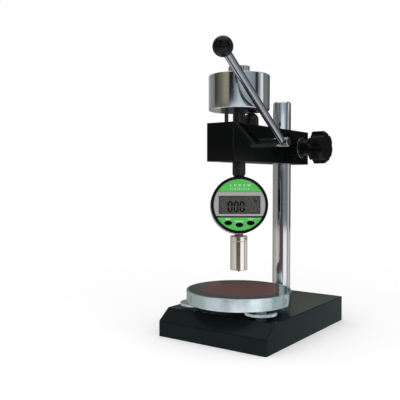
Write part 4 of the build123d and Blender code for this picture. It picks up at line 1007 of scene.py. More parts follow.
@dataclass
class Arm:
    """Arm block on the column, with its clamp."""

    edge: float = 0.8 * MM
    slit: float = 2.0 * MM
    cover_gap: float = 0.25 * MM
    pocket_gap: float = 0.9 * MM
    pocket_side_gap: float = 0.3 * MM
    bush_end_gap: float = 0.1 * MM
    rod_edge: float = 0.3 * MM
    washer_edge: float = 0.3 * MM
    knob_flutes: int = 6
    knob_flute_radius: float = 6.5 * MM
    knob_flute_depth: float = 4.2 * MM
    knob_hub_radius: float = 9.3 * MM
    knob_head: float = 17.2 * MM
    knob_flare: float = 0.9 * MM
    knob_flare_edge: float = 0.3 * MM
    knob_flare_run: float = 2.0 * MM
    knob_turn: float = 9.0
    knob_back: Point = (1.2 * MM, 4.8 * MM)
    knob_front: Point = (3.9 * MM, 2.9 * MM)
    knob_ease: float = 0.7 * MM
    screw_radius: float = 4.02 * MM
    screw_gap: float = 0.2 * MM
    screw_end_gap: float = 0.3 * MM
    washer_gap: float = 0.25 * MM
    insert: float = 3.0 * MM

    def build(self) -> None:
        """Builds the arm's pieces."""
        self.block()
        self.guide_rod()
        self.washer()
        self.knob()

    def block(self) -> None:
        """Enamelled block with its bores, its pocket and its clamping slit."""
        box = Box.of("arm_block")
        low, high, liner = box.low, box.high, Box.of("column_liner").middle
        piece = Workpiece.cube("arm_body", low, high).ease(self.edge, 3, 60.0)
        for node in ("column_liner", "spindle_bush_upper", "lifter_bush"):
            bush = Box.of(node)
            bottom = bush.low.z if node == "lifter_bush" else low.z
            piece.cut(Workpiece.post(node + "_bore", bush.radius, bush.middle, bottom - MM, high.z + MM, 96))
        piece.cut(Workpiece.cube("clamping_slit", Vector((-self.slit / 2, liner.y, low.z - MM)),
                                 Vector((self.slit / 2, high.y + MM, high.z + MM))))
        self.pocket(piece)
        for node, beyond in (("shaft_bush_outer", MM), ("shaft_bush_inner", 0.0)):
            bush = Box.of(node)
            piece.cut(Workpiece.beam(node + "_bore", bush.lying_radius, bush.middle,
                                     bush.low.x - self.bush_end_gap, bush.high.x + beyond))
        screw = Box.of("clamp_screw")
        piece.cut(Workpiece.beam("clamp_hole", self.screw_radius + self.screw_gap, screw.middle,
                                 screw.low.x - self.screw_end_gap, high.x + MM, 48))
        piece.finish(Finishes.ARM_ENAMEL, "arm", "arm_block")

    def pocket(self, piece: Workpiece) -> None:
        """Cuts the cover's seat and the crank's pocket.

        Args:
            piece: the arm's block.
        """
        cover, crank, lifter = Box.of("arm_cover"), Box.of("crank"), Box.of("lifter")
        gap = Vector((self.cover_gap, self.cover_gap, 0.0))
        piece.cut(Workpiece.cube("cover_seat", cover.low - gap - UP * MM, cover.high + gap))
        low = Vector((lifter.low.x - self.pocket_gap, lifter.low.y - self.pocket_gap, cover.high.z - MM))
        high = Vector((crank.high.x + self.pocket_side_gap, crank.high.y + self.pocket_gap,
                       Box.of("lifter_bush").low.z))
        piece.cut(Workpiece.cube("crank_pocket", low, high))

    def guide_rod(self) -> None:
        """Thin rod beside the spindle."""
        box = Box.of("guide_rod")
        outline = eased_block(box.radius, box.low.z, box.high.z, self.rod_edge)
        piece = Workpiece.turned("guide_rod_bar", outline, 40)
        piece.move(y=box.middle.y).finish(Finishes.DARK_STEEL, "arm", "guide_rod")

    def washer(self) -> None:
        """Washer under the clamp knob."""
        box = Box.of("clamp_washer")
        outline = eased_block(box.lying_radius, 0.0, box.high.x - box.low.x, self.washer_edge,
                              self.screw_radius + self.washer_gap)
        piece = Workpiece.turned("clamp_washer_ring", outline, 96, closed=True)
        piece.lie(box.low.x, box.middle).finish(Finishes.CHROME_ACROSS_PAINTED_SHADE, "arm", "clamp_washer")

    def knob(self) -> None:
        """Lobed clamp knob with a long hub."""
        box = Box.of("clamp_knob")
        radius = max((box.high.y - box.low.y) / 2, box.lying_radius)
        length = box.high.x - box.low.x
        head, depth = length - self.knob_head, length - self.insert
        bore, hub = self.screw_radius, self.knob_hub_radius
        (back_run, back_drop), (front_run, front_drop) = self.knob_back, self.knob_front
        flare = hub + self.knob_flare
        outline = [(bore, 0.0), (flare, 0.0), (flare, self.knob_flare_edge), (hub, self.knob_flare_run),
                   (hub, head), (radius - back_drop, head), (radius, head + back_run),
                   (radius, length - front_run), (radius - front_drop, length), (0.0, length), (0.0, depth),
                   (bore, depth)]
        piece = Workpiece.turned("clamp_knob_body", outline, 180, closed=True)
        reach = radius - self.knob_flute_depth + self.knob_flute_radius
        for index in range(self.knob_flutes):
            turn = math.tau * (index + 0.5) / self.knob_flutes + math.radians(self.knob_turn)
            spot = Vector((reach * math.cos(turn), reach * math.sin(turn), 0.0))
            piece.cut(Workpiece.post("flute", self.knob_flute_radius, spot, head - MM, length + MM, 96))
        piece.ease(self.knob_ease, 4, 28.0).lie(box.low.x, box.middle)
        piece.finish(Finishes.KNOB, "clamp", "clamp_knob", smooth=40.0)


@dataclass
class Lever:
    """Cross shaft, rod and ball knob."""

    length: float = 151.0 * MM
    rise: float = 30.2
    splay: float = 3.8
    tail: float = 3.8 * MM
    rod_radius: float = 4.0 * MM
    inner_radius: float = 4.0 * MM
    end_edge: float = 0.6 * MM
    shaft_ease: float = 0.2 * MM
    saddle_gap: float = 0.02 * MM
    flat_margin: float = 0.4 * MM
    thread_radius: float = 3.0 * MM

    def build(self) -> None:
        """Builds the lever's pieces."""
        box = Box.of("lever_shaft")
        radius, thin, edge, middle = box.lying_radius, self.inner_radius, self.end_edge, box.middle
        start, step, end = box.low.x, Box.of("crank").high.x, box.high.x
        outline = [(0.0, start), (thin, start), (thin, step), (radius, step), (radius, end - edge),
                   (radius - edge, end), (0.0, end)]
        shaft = Workpiece.turned("cross_shaft", outline, 96).ease(self.shaft_ease)
        shaft.lie(0.0, middle).finish(Finishes.CHROME_ACROSS_PAINTED_SHADE, "lever", "lever_shaft")
        stand = Matrix.Translation((end - self.tail - self.rod_radius, middle.y, middle.z))
        tilt = Matrix.Rotation(math.radians(90.0 - self.rise), 4, "X")
        lean = stand @ (tilt @ Matrix.Rotation(math.radians(self.splay), 4, "Y"))
        ball_radius = Box.of("lever_ball").radius
        seat = math.sqrt(ball_radius ** 2 - (self.rod_radius + self.flat_margin) ** 2)
        shoulder = self.length - seat
        bar, thread = self.rod_radius, self.thread_radius
        outline = [(0.0, 0.0), (bar, 0.0), (bar, shoulder), (thread, shoulder), (thread, self.length),
                   (0.0, self.length)]
        rod = Workpiece.turned("lever_bar", outline, 96).place(lean)
        rod.cut(Workpiece.beam("saddle", radius + self.saddle_gap, middle, 0.0, end + MM, 96))
        rod.finish(Finishes.CHROME_ACROSS_PAINTED_SHADE, "lever", "lever_rod")
        flat = math.degrees(math.acos(seat / ball_radius))
        outline = [(0.0, shoulder), *arc((0.0, self.length), ball_radius, flat - 90.0, 90.0, 48)]
        ball = Workpiece.turned("lever_ball_knob", outline, 128)
        ball.place(lean).finish(Finishes.BALL, "lever", "lever_ball")


@dataclass
class Loading:
    """Lifter, spindle, weight, hand nut and sleeve."""

    dome: float = 6.8 * MM
    slot_gap: float = 0.25 * MM
    slot_lead: float = 2.0 * MM
    journal_radius: float = 5.0 * MM
    journal_edge: float = 0.8 * MM
    spigot_radius: float = 4.5 * MM
    spigot_length: float = 7.0 * MM
    weight_edge: float = 1.0 * MM
    slide_fit: float = 0.02 * MM
    guide_radius: float = 2.05 * MM
    guide_run: float = 13.0 * MM
    nut_fit: float = 0.05 * MM
    nut_neck_radius: float = 8.5 * MM
    nut_neck: float = 3.0 * MM
    nut_edge: float = 0.6 * MM
    nut_teeth: int = 60
    nut_grip: float = 0.97
    sleeve_taper: float = 2.6 * MM
    sleeve_ease: float = 0.2 * MM
    stem_radius: float = 4.05 * MM

    def build(self) -> None:
        """Builds the loaded spindle's pieces."""
        self.lifter()
        self.spindle()
        self.weight()
        self.hand_nut()
        self.sleeve()

    def lifter(self) -> None:
        """Domed pin with the slot for the crank's roller."""
        box, roller = Box.of("lifter"), Box.of("crank_roller")
        radius, top, gap = box.radius, box.high.z, self.slot_gap
        crown = arc((radius - self.dome, top - self.dome), self.dome, 0.0, 90.0, 10)
        outline = [(0.0, box.low.z), (radius, box.low.z), *crown, (0.0, top)]
        piece = Workpiece.turned("lifter_pin", outline, 80).move(y=box.middle.y)
        low = Vector((-radius - MM, roller.low.y - self.slot_lead, roller.low.z - gap))
        high = Vector((radius + MM, roller.high.y + gap, roller.high.z + gap))
        piece.cut(Workpiece.cube("lifter_slot", low, high))
        piece.finish(Finishes.DARK_STEEL, "lifter", "lifter")

    def spindle(self) -> None:
        """Spindle with its spigot, its shoulder and its journal."""
        box, edge = Box.of("spindle"), self.journal_edge
        low, high, radius = box.low.z, box.high.z, box.radius
        spigot, journal = self.spigot_radius, self.journal_radius
        sleeve_top, shoulder = Box.of("spindle_sleeve").high.z, Box.of("weight").low.z
        outline = [(0.0, low), (spigot, low), (spigot, sleeve_top), (radius, sleeve_top), (radius, shoulder),
                   (journal, shoulder), (journal, high - edge), (journal - edge, high), (0.0, high)]
        piece = Workpiece.turned("spindle_bar", outline, 80)
        piece.move(y=box.middle.y).finish(Finishes.DARK_STEEL, "spindle", "spindle")

    def weight(self) -> None:
        """Polished weight with eased edges."""
        box, rod = Box.of("weight"), Box.of("guide_rod")
        outline = eased_block(box.radius, box.low.z, box.high.z, self.weight_edge,
                              self.journal_radius + self.slide_fit)
        piece = Workpiece.turned("dead_weight", outline, 256, closed=True).move(y=box.middle.y)
        spot = Vector((0.0, rod.middle.y, 0.0))
        piece.cut(Workpiece.post("guide_hole", self.guide_radius, spot, box.low.z - MM,
                                 rod.high.z + self.guide_run, 32))
        piece.finish(Finishes.CHROME, "spindle", "weight")

    def hand_nut(self) -> None:
        """Knurled nut with a neck."""
        box = Box.of("weight_nut")
        low, high, radius, edge = box.low.z, box.high.z, box.radius, self.nut_edge
        bore, neck, step = self.journal_radius + self.nut_fit, self.nut_neck_radius, low + self.nut_neck
        outline = [(bore, low), (neck, low), (neck, step), (radius - edge, step), (radius, step + edge),
                   (radius, high - edge), (radius - edge, high), (bore, high)]
        piece = Workpiece.turned("hand_nut", outline, 2 * self.nut_teeth, closed=True)
        piece.knurl(radius - edge / 2, self.nut_teeth, self.nut_grip).move(y=box.middle.y)
        piece.finish(Finishes.CHROME, "weight_nut", "weight_nut", smooth=25.0)

    def sleeve(self) -> None:
        """Tapered sleeve below the arm."""
        box, screw = Box.of("spindle_sleeve"), Box.of("sleeve_screw")
        low, high, radius, height = box.low.z, box.high.z, box.radius, screw.middle.z
        taper, stem = self.sleeve_taper, self.stem_radius
        spigot, step = self.spigot_radius + self.slide_fit, high - self.spigot_length
        outline = [(stem, low), (radius - taper / 2, low), (radius, low + taper), (radius, high),
                   (spigot, high), (spigot, step), (stem, step)]
        piece = Workpiece.turned("stem_sleeve", outline, 96, closed=True).ease(self.sleeve_ease, 2)
        piece.cut(Workpiece.bar("sleeve_hole", screw.lying_radius + self.slide_fit,
                                Vector((0.0, spigot, height)), Vector((0.0, radius + MM, height)), 32))
        piece.move(y=box.middle.y).finish(Finishes.DARK_STEEL, "spindle", "spindle_sleeve")


@dataclass
class Gauge:
    """Digital gauge: head, printed face and foot.

    Depths run inwards from the middle of the head, which stands turned by FACE_TURN.
    """

    bezel_radius: float = 29.5 * MM
    bezel_front: float = -13.0 * MM
    bezel_back: float = -7.0 * MM
    bezel_edge: float = 0.8 * MM
    bezel_ease: float = 0.25 * MM
    lip_radius: float = 26.8 * MM
    lip_cover: float = 26.55 * MM
    ledge_radius: float = 26.1 * MM
    fit: float = 0.02 * MM
    plate_front: float = -12.4 * MM
    plate_back: float = -11.2 * MM
    case_radius: float = 28.6 * MM
    case_bore: float = 26.4 * MM
    case_front: float = -8.98 * MM
    case_back: float = 9.92 * MM
    case_edge: float = 0.3 * MM
    swell_radius: float = 28.9 * MM
    swell_edge: float = 0.8 * MM
    swell_gap: float = 0.1 * MM
    swell_place: Point = (-1.3 * MM, -1.9 * MM)
    cover_back: float = 12.42 * MM
    cover_edge: float = 0.8 * MM
    cover_ease: float = 0.2 * MM
    screw_turns: tuple[float, ...] = (45.0, 135.0, 225.0, 315.0)
    screw_circle: float = 24.6 * MM
    screw_head: float = 2.5 * MM
    screw_seat: float = 11.12 * MM
    window: Point = (43.0 * MM, 18.8 * MM)
    window_sink: float = 0.15 * MM
    window_radius: float = 1.0 * MM
    print_depth: float = 0.03 * MM
    band_top: float = 13.3 * MM
    band_bottom: float = -11.5 * MM
    line_width: float = 1.5 * MM
    upper_line_width: float = 0.25 * MM
    ticks: int = 9
    tick_pitch: float = 2.3 * MM
    tick_half: float = 0.2 * MM
    tick_low: float = 15.5 * MM
    tick_heights: Point = (2.0 * MM, 1.3 * MM)
    numbers: tuple[str, ...] = ("0", "25", "50", "75", "100")
    number_size: float = 2.7 * MM
    number_pitch: float = 4.6 * MM
    number_height: float = 20.1 * MM
    sign_size: float = 2.3 * MM
    switch_height: float = -16.9 * MM
    zero_height: float = -14.65 * MM
    sign_bars: tuple[tuple[str, Point, Point], ...] = (
        ("left", (-2.6 * MM, -15.3 * MM), (-1.6 * MM, -14.0 * MM)),
        ("left", (-0.9 * MM, -15.3 * MM), (0.1 * MM, -14.0 * MM)),
        ("left", (0.8 * MM, -14.9 * MM), (2.6 * MM, -14.3 * MM)),
        ("right", (-2.4 * MM, -14.9 * MM), (-1.1 * MM, -14.3 * MM)),
        ("right", (1.1 * MM, -14.9 * MM), (2.4 * MM, -14.3 * MM)))
    digit_starts: tuple[float, ...] = (-12.3 * MM, -6.1 * MM, 0.1 * MM)
    digit_width: float = 5.3 * MM
    digit_low: float = -7.6 * MM
    digit_high: float = 3.8 * MM
    segment: float = 1.7 * MM
    segment_gap: float = 0.1 * MM
    segment_tip: float = 0.05
    figure_depth: float = 0.015 * MM
    dash_across: Point = (15.2 * MM, 18.0 * MM)
    dash_lows: tuple[float, ...] = (3.0 * MM, 4.6 * MM)
    dash_height: float = 0.9 * MM
    button_places: dict[str, Point] = field(default_factory=lambda: {
        "left": (-11.5 * MM, -18.6 * MM), "middle": (0.0, -20.6 * MM), "right": (11.5 * MM, -18.6 * MM)})
    button_half: Point = (3.9 * MM, 2.2 * MM)
    button_gap: float = 0.05 * MM
    button_front: float = -13.4 * MM
    button_edge: float = 0.5 * MM
    flange_gap: float = 0.3 * MM
    flange_margin: float = 0.6 * MM
    flange_depth: float = 0.8 * MM
    button_stem_radius: float = 1.2 * MM
    button_stem_back: float = -6.55 * MM
    neck_radii: Point = (4.5 * MM, 3.5 * MM)
    neck_step_drop: float = 27.4 * MM
    foot_radius: float = 9.0 * MM
    ring_edge: float = 0.35 * MM
    foot_screw_turns: tuple[float, ...] = (-37.0, 143.0)
    foot_screw_drop: float = 2.4 * MM
    foot_screw_radius: float = 1.28 * MM
    barrel_edges: Point = (0.5 * MM, 0.3 * MM)
    barrel_bore: float = 6.0 * MM
    barrel_tip: float = 1.8 * MM
    barrel_floor: float = 5.0 * MM
    pin: Triple = (0.45 * MM, 0.76 * MM, 0.6 * MM)

    def __post_init__(self) -> None:
        """Finds the head's middle and the matrix that turns it to its place."""
        bezel, stem = Box.of("gauge_bezel"), Box.of("mounting_stem").middle
        self.middle = Vector((stem.x, stem.y, (bezel.low.z + bezel.high.z) / 2))
        self.seat = Matrix.Translation(self.middle) @ Matrix.Rotation(FACE_TURN, 4, "Z")
        self.face_on = Matrix.Rotation(math.radians(-90.0), 4, "X")

    def build(self) -> None:
        """Builds the gauge's pieces."""
        self.bezel()
        self.case()
        self.back_cover()
        self.face()
        self.bands()
        self.marks()
        self.display()
        self.buttons()
        self.neck()
        self.ring()
        self.barrel()
        self.point()

    def disc(self, name: str, outline: Outline, sides: int = 192, closed: bool = False) -> Workpiece:
        """A piece turned about the head's own axis, from an outline of radius and depth."""
        return Workpiece.turned(name, outline, sides, closed).place(self.face_on)

    def slab(self, name: str, low: Point, high: Point, front: float, back: float) -> Workpiece:
        """A flat block on the face between two corners."""
        return Workpiece.cube(name, Vector((low[0], front, low[1])), Vector((high[0], back, high[1])))

    def bore(self, name: str, radius: float, place: Point, front: float, back: float,
             sides: int) -> Workpiece:
        """A round bar straight into the face at a place."""
        return Workpiece.bar(name, radius, Vector((place[0], front, place[1])),
                             Vector((place[0], back, place[1])), sides)

    def bezel(self) -> None:
        """Black bezel round the face."""
        skirt, ledge_back = self.case_radius + self.fit, self.case_front - self.fit
        over_face = self.plate_front - 1.5 * self.print_depth
        front, back, edge = self.bezel_front, self.bezel_back, self.bezel_edge
        outline = [(self.lip_cover, front), (self.bezel_radius - edge, front),
                   (self.bezel_radius, front + edge), (self.bezel_radius, back), (skirt, back),
                   (skirt, ledge_back), (self.ledge_radius, ledge_back), (self.ledge_radius, self.plate_back),
                   (self.lip_radius, self.plate_back), (self.lip_radius, over_face),
                   (self.lip_cover, over_face)]
        piece = self.disc("bezel_ring", outline, closed=True).ease(self.bezel_ease)
        piece.place(self.seat).finish(Finishes.BEZEL, "gauge", "gauge_bezel")

    def case(self) -> None:
        """Turned case, swollen towards the lower left."""
        outline = eased_block(self.case_radius, self.case_front, self.case_back, self.case_edge,
                              self.case_bore)
        case = self.disc("case_shell", outline, closed=True)
        outline = eased_block(self.swell_radius, self.bezel_back + self.swell_gap, self.case_back,
                              self.swell_edge)
        across, up = self.swell_place
        case.add(self.disc("case_swell", outline).move(x=across, z=up))
        case.cut(self.bore("case_hollow", self.case_bore, (0.0, 0.0), self.bezel_back - MM,
                           self.case_back + MM, 192))
        case.place(self.seat).finish(Finishes.CASE, "gauge", "gauge_case")

    def back_cover(self) -> None:
        """Back cover with the seats of its four screws."""
        radius, front, back, edge = self.case_radius, self.case_back, self.cover_back, self.cover_edge
        outline = [(0.0, front), (radius, front), (radius, back - edge), (radius - edge, back), (0.0, back)]
        cover = self.disc("back_cover", outline, 160).ease(self.cover_ease, 2)
        for degrees in self.screw_turns:
            turn = math.radians(degrees)
            place = (self.screw_circle * math.cos(turn), self.screw_circle * math.sin(turn))
            cover.cut(self.bore("cover_seat", self.screw_head, place, self.screw_seat, back + MM, 40))
        cover.place(self.seat).finish(Finishes.BEZEL, "gauge", "gauge_back_cover")

    def round_window(self, name: str, margin: float, front: float, back: float) -> Workpiece:
        """A block with the window's rounded outline.

        Args:
            name: the piece's name.
            margin: how far it is grown all round.
            front: the depth of its front.
            back: the depth of its back.

        Returns:
            The piece.
        """
        across, up = self.window[0] / 2 + margin, self.window[1] / 2 + margin
        piece = self.slab(name, (-across, -up), (across, up), front, back)
        with piece.editing():
            piece.pick("EDGE", lambda centre, run: abs(run.y) > ALONG)
            bpy.ops.mesh.bevel(offset=self.window_radius + margin, segments=6, affect="EDGES")
        return piece

    def oval(self, name: str, place: Point, margin: float, front: float, back: float) -> Workpiece:
        """An oval bar at a button's place.

        Args:
            name: the piece's name.
            place: the button's place on the face.
            margin: how far it is grown all round.
            front: the depth of its front.
            back: the depth of its back.

        Returns:
            The piece.
        """
        across, up = (half + margin for half in self.button_half)
        piece = self.bore(name, across, (0.0, 0.0), front, back, 64)
        with piece.editing():
            bpy.ops.mesh.select_all(action="SELECT")
            bpy.ops.transform.resize(value=(1.0, 1.0, up / across), center_override=(0.0, 0.0, 0.0))
        return piece.move(place[0], 0.0, place[1])

    def plate(self, name: str, front: float, back: float) -> Workpiece:
        """A round plate that fills the bezel between two depths."""
        radius = self.lip_radius - self.fit
        return self.disc(name, [(0.0, front), (radius, front), (radius, back), (0.0, back)], 160)

    def open_up(self, piece: Workpiece) -> Workpiece:
        """Cuts the window's and the buttons' openings.

        Args:
            piece: the plate or the stripe.

        Returns:
            The same piece.
        """
        front, back = self.bezel_front - MM, self.plate_back + MM
        piece.cut(self.round_window("window_opening", self.fit, front, back))
        for name, place in self.button_places.items():
            piece.cut(self.oval(name + "_opening", place, self.button_gap + self.fit, front, back))
        return piece

    def face(self) -> None:
        """Green face plate."""
        plate = self.open_up(self.plate("green_face", self.plate_front, self.plate_back))
        plate.place(self.seat).finish(Finishes.FACE, "gauge", "face_plate")

    def stripe(self, name: str, low: float, high: float) -> Workpiece:
        """A printed stripe across the face.

        Args:
            name: the piece's name.
            low: the height of its lower edge.
            high: the height of its upper edge.

        Returns:
            The piece.
        """
        piece = self.plate(name, self.plate_front - self.print_depth, self.plate_front + self.print_depth)
        for height, outward in ((high, 1.0), (low, -1.0)):
            with piece.editing():
                bpy.ops.mesh.select_all(action="SELECT")
                bpy.ops.mesh.bisect(plane_co=(0.0, 0.0, height), plane_no=(0.0, 0.0, outward), use_fill=True,
                                    clear_outer=True)
        return piece

    def bands(self) -> None:
        """Printed grey band and the dark lines along it."""
        bottom, top = self.band_bottom, self.band_top
        band = self.open_up(self.stripe("grey_band", bottom, top))
        band.place(self.seat).finish(Finishes.FACE_GREY, "gauge")
        line = self.stripe("black_line", bottom - self.line_width, bottom)
        line.join(self.stripe("upper_line", top, top + self.upper_line_width))
        line.place(self.seat).finish(Finishes.FACE_DARK, "gauge")

    def marks(self) -> None:
        """White scale with its numbers, and the signs by the buttons."""
        front, back = self.plate_front - self.print_depth, self.plate_front + self.print_depth
        marks = []
        for index in range(self.ticks):
            across = (index - self.ticks // 2) * self.tick_pitch
            top = self.tick_low + self.tick_heights[index % 2]
            marks.append(self.slab("face_marks", (across - self.tick_half, self.tick_low),
                                   (across + self.tick_half, top), front, back))
        for index, number in enumerate(self.numbers):
            across = (index - len(self.numbers) // 2) * self.number_pitch
            marks.append(self.word("face_number", number, self.number_size, across, self.number_height))
        marks.append(self.word("switch_sign", "ON/OFF", self.sign_size, 0.0, self.switch_height))
        for button, low, high in self.sign_bars:
            across = self.button_places[button][0]
            marks.append(self.slab("button_sign", (across + low[0], low[1]), (across + high[0], high[1]),
                                   front, back))
        across = self.button_places["right"][0]
        marks.append(self.word("zero_sign", "0", self.sign_size, across, self.zero_height))
        piece = marks[0].join(*marks[1:])
        piece.place(self.seat).finish(Finishes.FACE_WHITE, "gauge")

    def word(self, name: str, text: str, size: float, across: float, up: float) -> Workpiece:
        """Printed lettering centred at a place on the face."""
        return Workpiece.lettering(name, text, size, self.print_depth).move(across, self.plate_front, up)

    def display(self) -> None:
        """Display window and the figures behind it."""
        window = self.round_window("window_pane", 0.0, self.plate_front + self.window_sink, self.plate_back)
        window.place(self.seat).finish(Finishes.WINDOW, "gauge", "display_window")
        bars = [bar for start in self.digit_starts for bar in self.digit(start)]
        left, right = self.dash_across
        bars.extend(self.figure((left, low), (right, low + self.dash_height)) for low in self.dash_lows)
        figures = bars[0].join(*bars[1:])
        figures.place(self.seat).finish(Finishes.SEGMENTS, "gauge")

    def figure(self, low: Point, high: Point) -> Workpiece:
        """A flat bar on the display's face."""
        back = self.plate_back + self.fit
        return self.slab("display_figures", low, high, back - self.figure_depth, back)

    def digit(self, start: float) -> list[Workpiece]:
        """The six pointed bars of a nought.

        Args:
            start: the place of its left edge.

        Returns:
            The bars.
        """
        half, gap = self.segment / 2, self.segment_gap
        left, right = start + half, start + self.digit_width - half
        low, high = self.digit_low + half, self.digit_high - half
        middle = (low + high) / 2
        bars = [self.pointed((left + gap, height), (right - gap, height)) for height in (low, high)]
        for side in (left, right):
            bars.append(self.pointed((side, low + gap), (side, middle - gap)))
            bars.append(self.pointed((side, middle + gap), (side, high - gap)))
        return bars

    def pointed(self, start: Point, end: Point) -> Workpiece:
        """A bar of the display with a point at each end.

        Args:
            start: the tip of its left or lower end.
            end: the tip of its right or upper end.

        Returns:
            The piece.
        """
        half = self.segment / 2
        if start[0] == end[0]:
            bar = self.figure((start[0] - half, start[1] + half), (end[0] + half, end[1] - half))
            run, shrink = Vector((0.0, 0.0, 1.0)), (self.segment_tip, 1.0, 1.0)
        else:
            bar = self.figure((start[0] + half, start[1] - half), (end[0] - half, end[1] + half))
            run, shrink = Vector((1.0, 0.0, 0.0)), (1.0, 1.0, self.segment_tip)
        for tip, outward in ((start, -run), (end, run)):
            with bar.editing():
                bar.pick("FACE", lambda centre, normal: normal.dot(outward) > ALONG)
                bpy.ops.mesh.extrude_region_move(TRANSFORM_OT_translate={"value": outward * half})
                bpy.ops.transform.resize(value=shrink, center_override=(tip[0], 0.0, tip[1]))
        return bar

    def buttons(self) -> None:
        """Oval push buttons with their flanges and stems."""
        seat = self.plate_back + self.flange_gap
        for name, place in self.button_places.items():
            cap = self.oval(f"push_button_{name}", place, 0.0, self.button_front, seat)
            with cap.editing():
                cap.pick("FACE", lambda centre, normal: normal.y < -ALONG)
                bpy.ops.mesh.bevel(offset=self.button_edge, segments=4, affect="EDGES")
            cap.add(self.oval("flange", place, self.flange_margin, seat, seat + self.flange_depth),
                    self.bore("stem", self.button_stem_radius, place, seat, self.button_stem_back, 32))
            cap.place(self.seat).finish(Finishes.BUTTON, f"button_{name}", f"button_{name}")

    def neck(self) -> None:
        """Stepped bush between head and foot."""
        box, step = Box.of("neck_bush"), self.middle.z - self.neck_step_drop
        wide, thin = self.neck_radii
        outline = [(0.0, box.low.z), (wide, box.low.z), (wide, step), (thin, step), (thin, box.high.z),
                   (0.0, box.high.z)]
        piece = Workpiece.turned("foot_neck", outline, 96).move(self.middle.x, self.middle.y)
        piece.finish(Finishes.NECK, "gauge", "neck_bush")

    def ring(self) -> None:
        """Collar with the holes of its two screws."""
        box, radius = Box.of("foot_collar"), self.foot_radius
        outline = eased_block(radius, box.low.z, box.high.z, self.ring_edge)
        piece = Workpiece.turned("foot_ring", outline, 96)
        height = box.high.z - self.foot_screw_drop
        for degrees in self.foot_screw_turns:
            turn = math.radians(degrees) + FACE_TURN
            piece.cut(Workpiece.spoke("foot_screw_hole", self.foot_screw_radius, turn, height,
                                      (radius / 2, radius + MM), 32))
        piece.move(self.middle.x, self.middle.y).finish(Finishes.NICKEL, "gauge", "foot_collar")

    def barrel(self) -> None:
        """Hollow foot housing."""
        box, radius, bore, tip = Box.of("foot_housing"), self.foot_radius, self.barrel_bore, self.barrel_tip
        low, high, floor = box.low.z, box.high.z, box.low.z + self.barrel_floor
        lower, upper = self.barrel_edges
        outline = [(tip, low), *arc((radius - lower, low + lower), lower, -90.0, 0.0, 4),
                   *arc((radius - upper, high - upper), upper, 0.0, 90.0, 3), (bore, high), (bore, floor),
                   (tip, floor)]
        piece = Workpiece.turned("foot_barrel", outline, 128, closed=True)
        piece.move(self.middle.x, self.middle.y).finish(Finishes.NICKEL, "gauge", "foot_housing")

    def point(self) -> None:
        """Blunt pin over the indenter's cone, seen below the foot."""
        tip, top = Box.of("indenter").low.z, Box.of("foot_housing").low.z + MM
        blunt, shaft, taper = self.pin
        outline = [(0.0, tip), (blunt, tip), (shaft, tip + taper), (shaft, top), (0.0, top)]
        piece = Workpiece.turned("indenter_pin", outline, 48).move(self.middle.x, self.middle.y)
        # Dressed in the darkened steel: painted shade under the foot.
        piece.finish(Finishes.POINT_STEEL_PAINTED_SHADE, "indenter")


@dataclass
class InnerPieces:
    """The nodes that keep their own shape and only get a finish."""

    dressed: dict[Finishes, tuple[str, ...]] = field(default_factory=lambda: {
        Finishes.DARK_STEEL: ("column_bolt", "arm_cover", "sleeve_screw", "foot_collar_screws"),
        Finishes.PLATED: ("column_washer", "levelling_studs", "arm_cover_screws", "clamp_screw",
                          "gauge_back_screws", "battery"),
        Finishes.BRONZE: ("spindle_bush_upper", "spindle_bush_lower", "lifter_bush", "shaft_bush_inner"),
        Finishes.HARD_STEEL: ("crank", "crank_pin", "crank_roller", "mounting_stem", "indenter_spring"),
        Finishes.NYLON: ("column_liner",), Finishes.OILED_STEEL_AND_PAINTED_SHADE: ("shaft_bush_outer",),
        Finishes.DISPLAY: ("display_module",), Finishes.BOARD: ("circuit_board",),
        Finishes.COPPER: ("sensor_coil",), Finishes.KNOB: ("battery_holder",),
        Finishes.POINT_STEEL_PAINTED_SHADE: ("indenter",)})

    def build(self) -> None:
        """Dresses each node."""
        for finish, nodes in self.dressed.items():
            for node in nodes:
                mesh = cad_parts[node].data
                mesh.materials.clear()
                mesh.materials.append(finish.value.material())
            LOG.info("%s: %s", finish.value.name, ", ".join(nodes))


@dataclass(frozen=True)
class Lamp:
    """A soft lamp: its turn in degrees from the camera's, and where and how bright it is."""

    name: str
    turn: float
    height: float
    distance: float
    power: float
    size: float


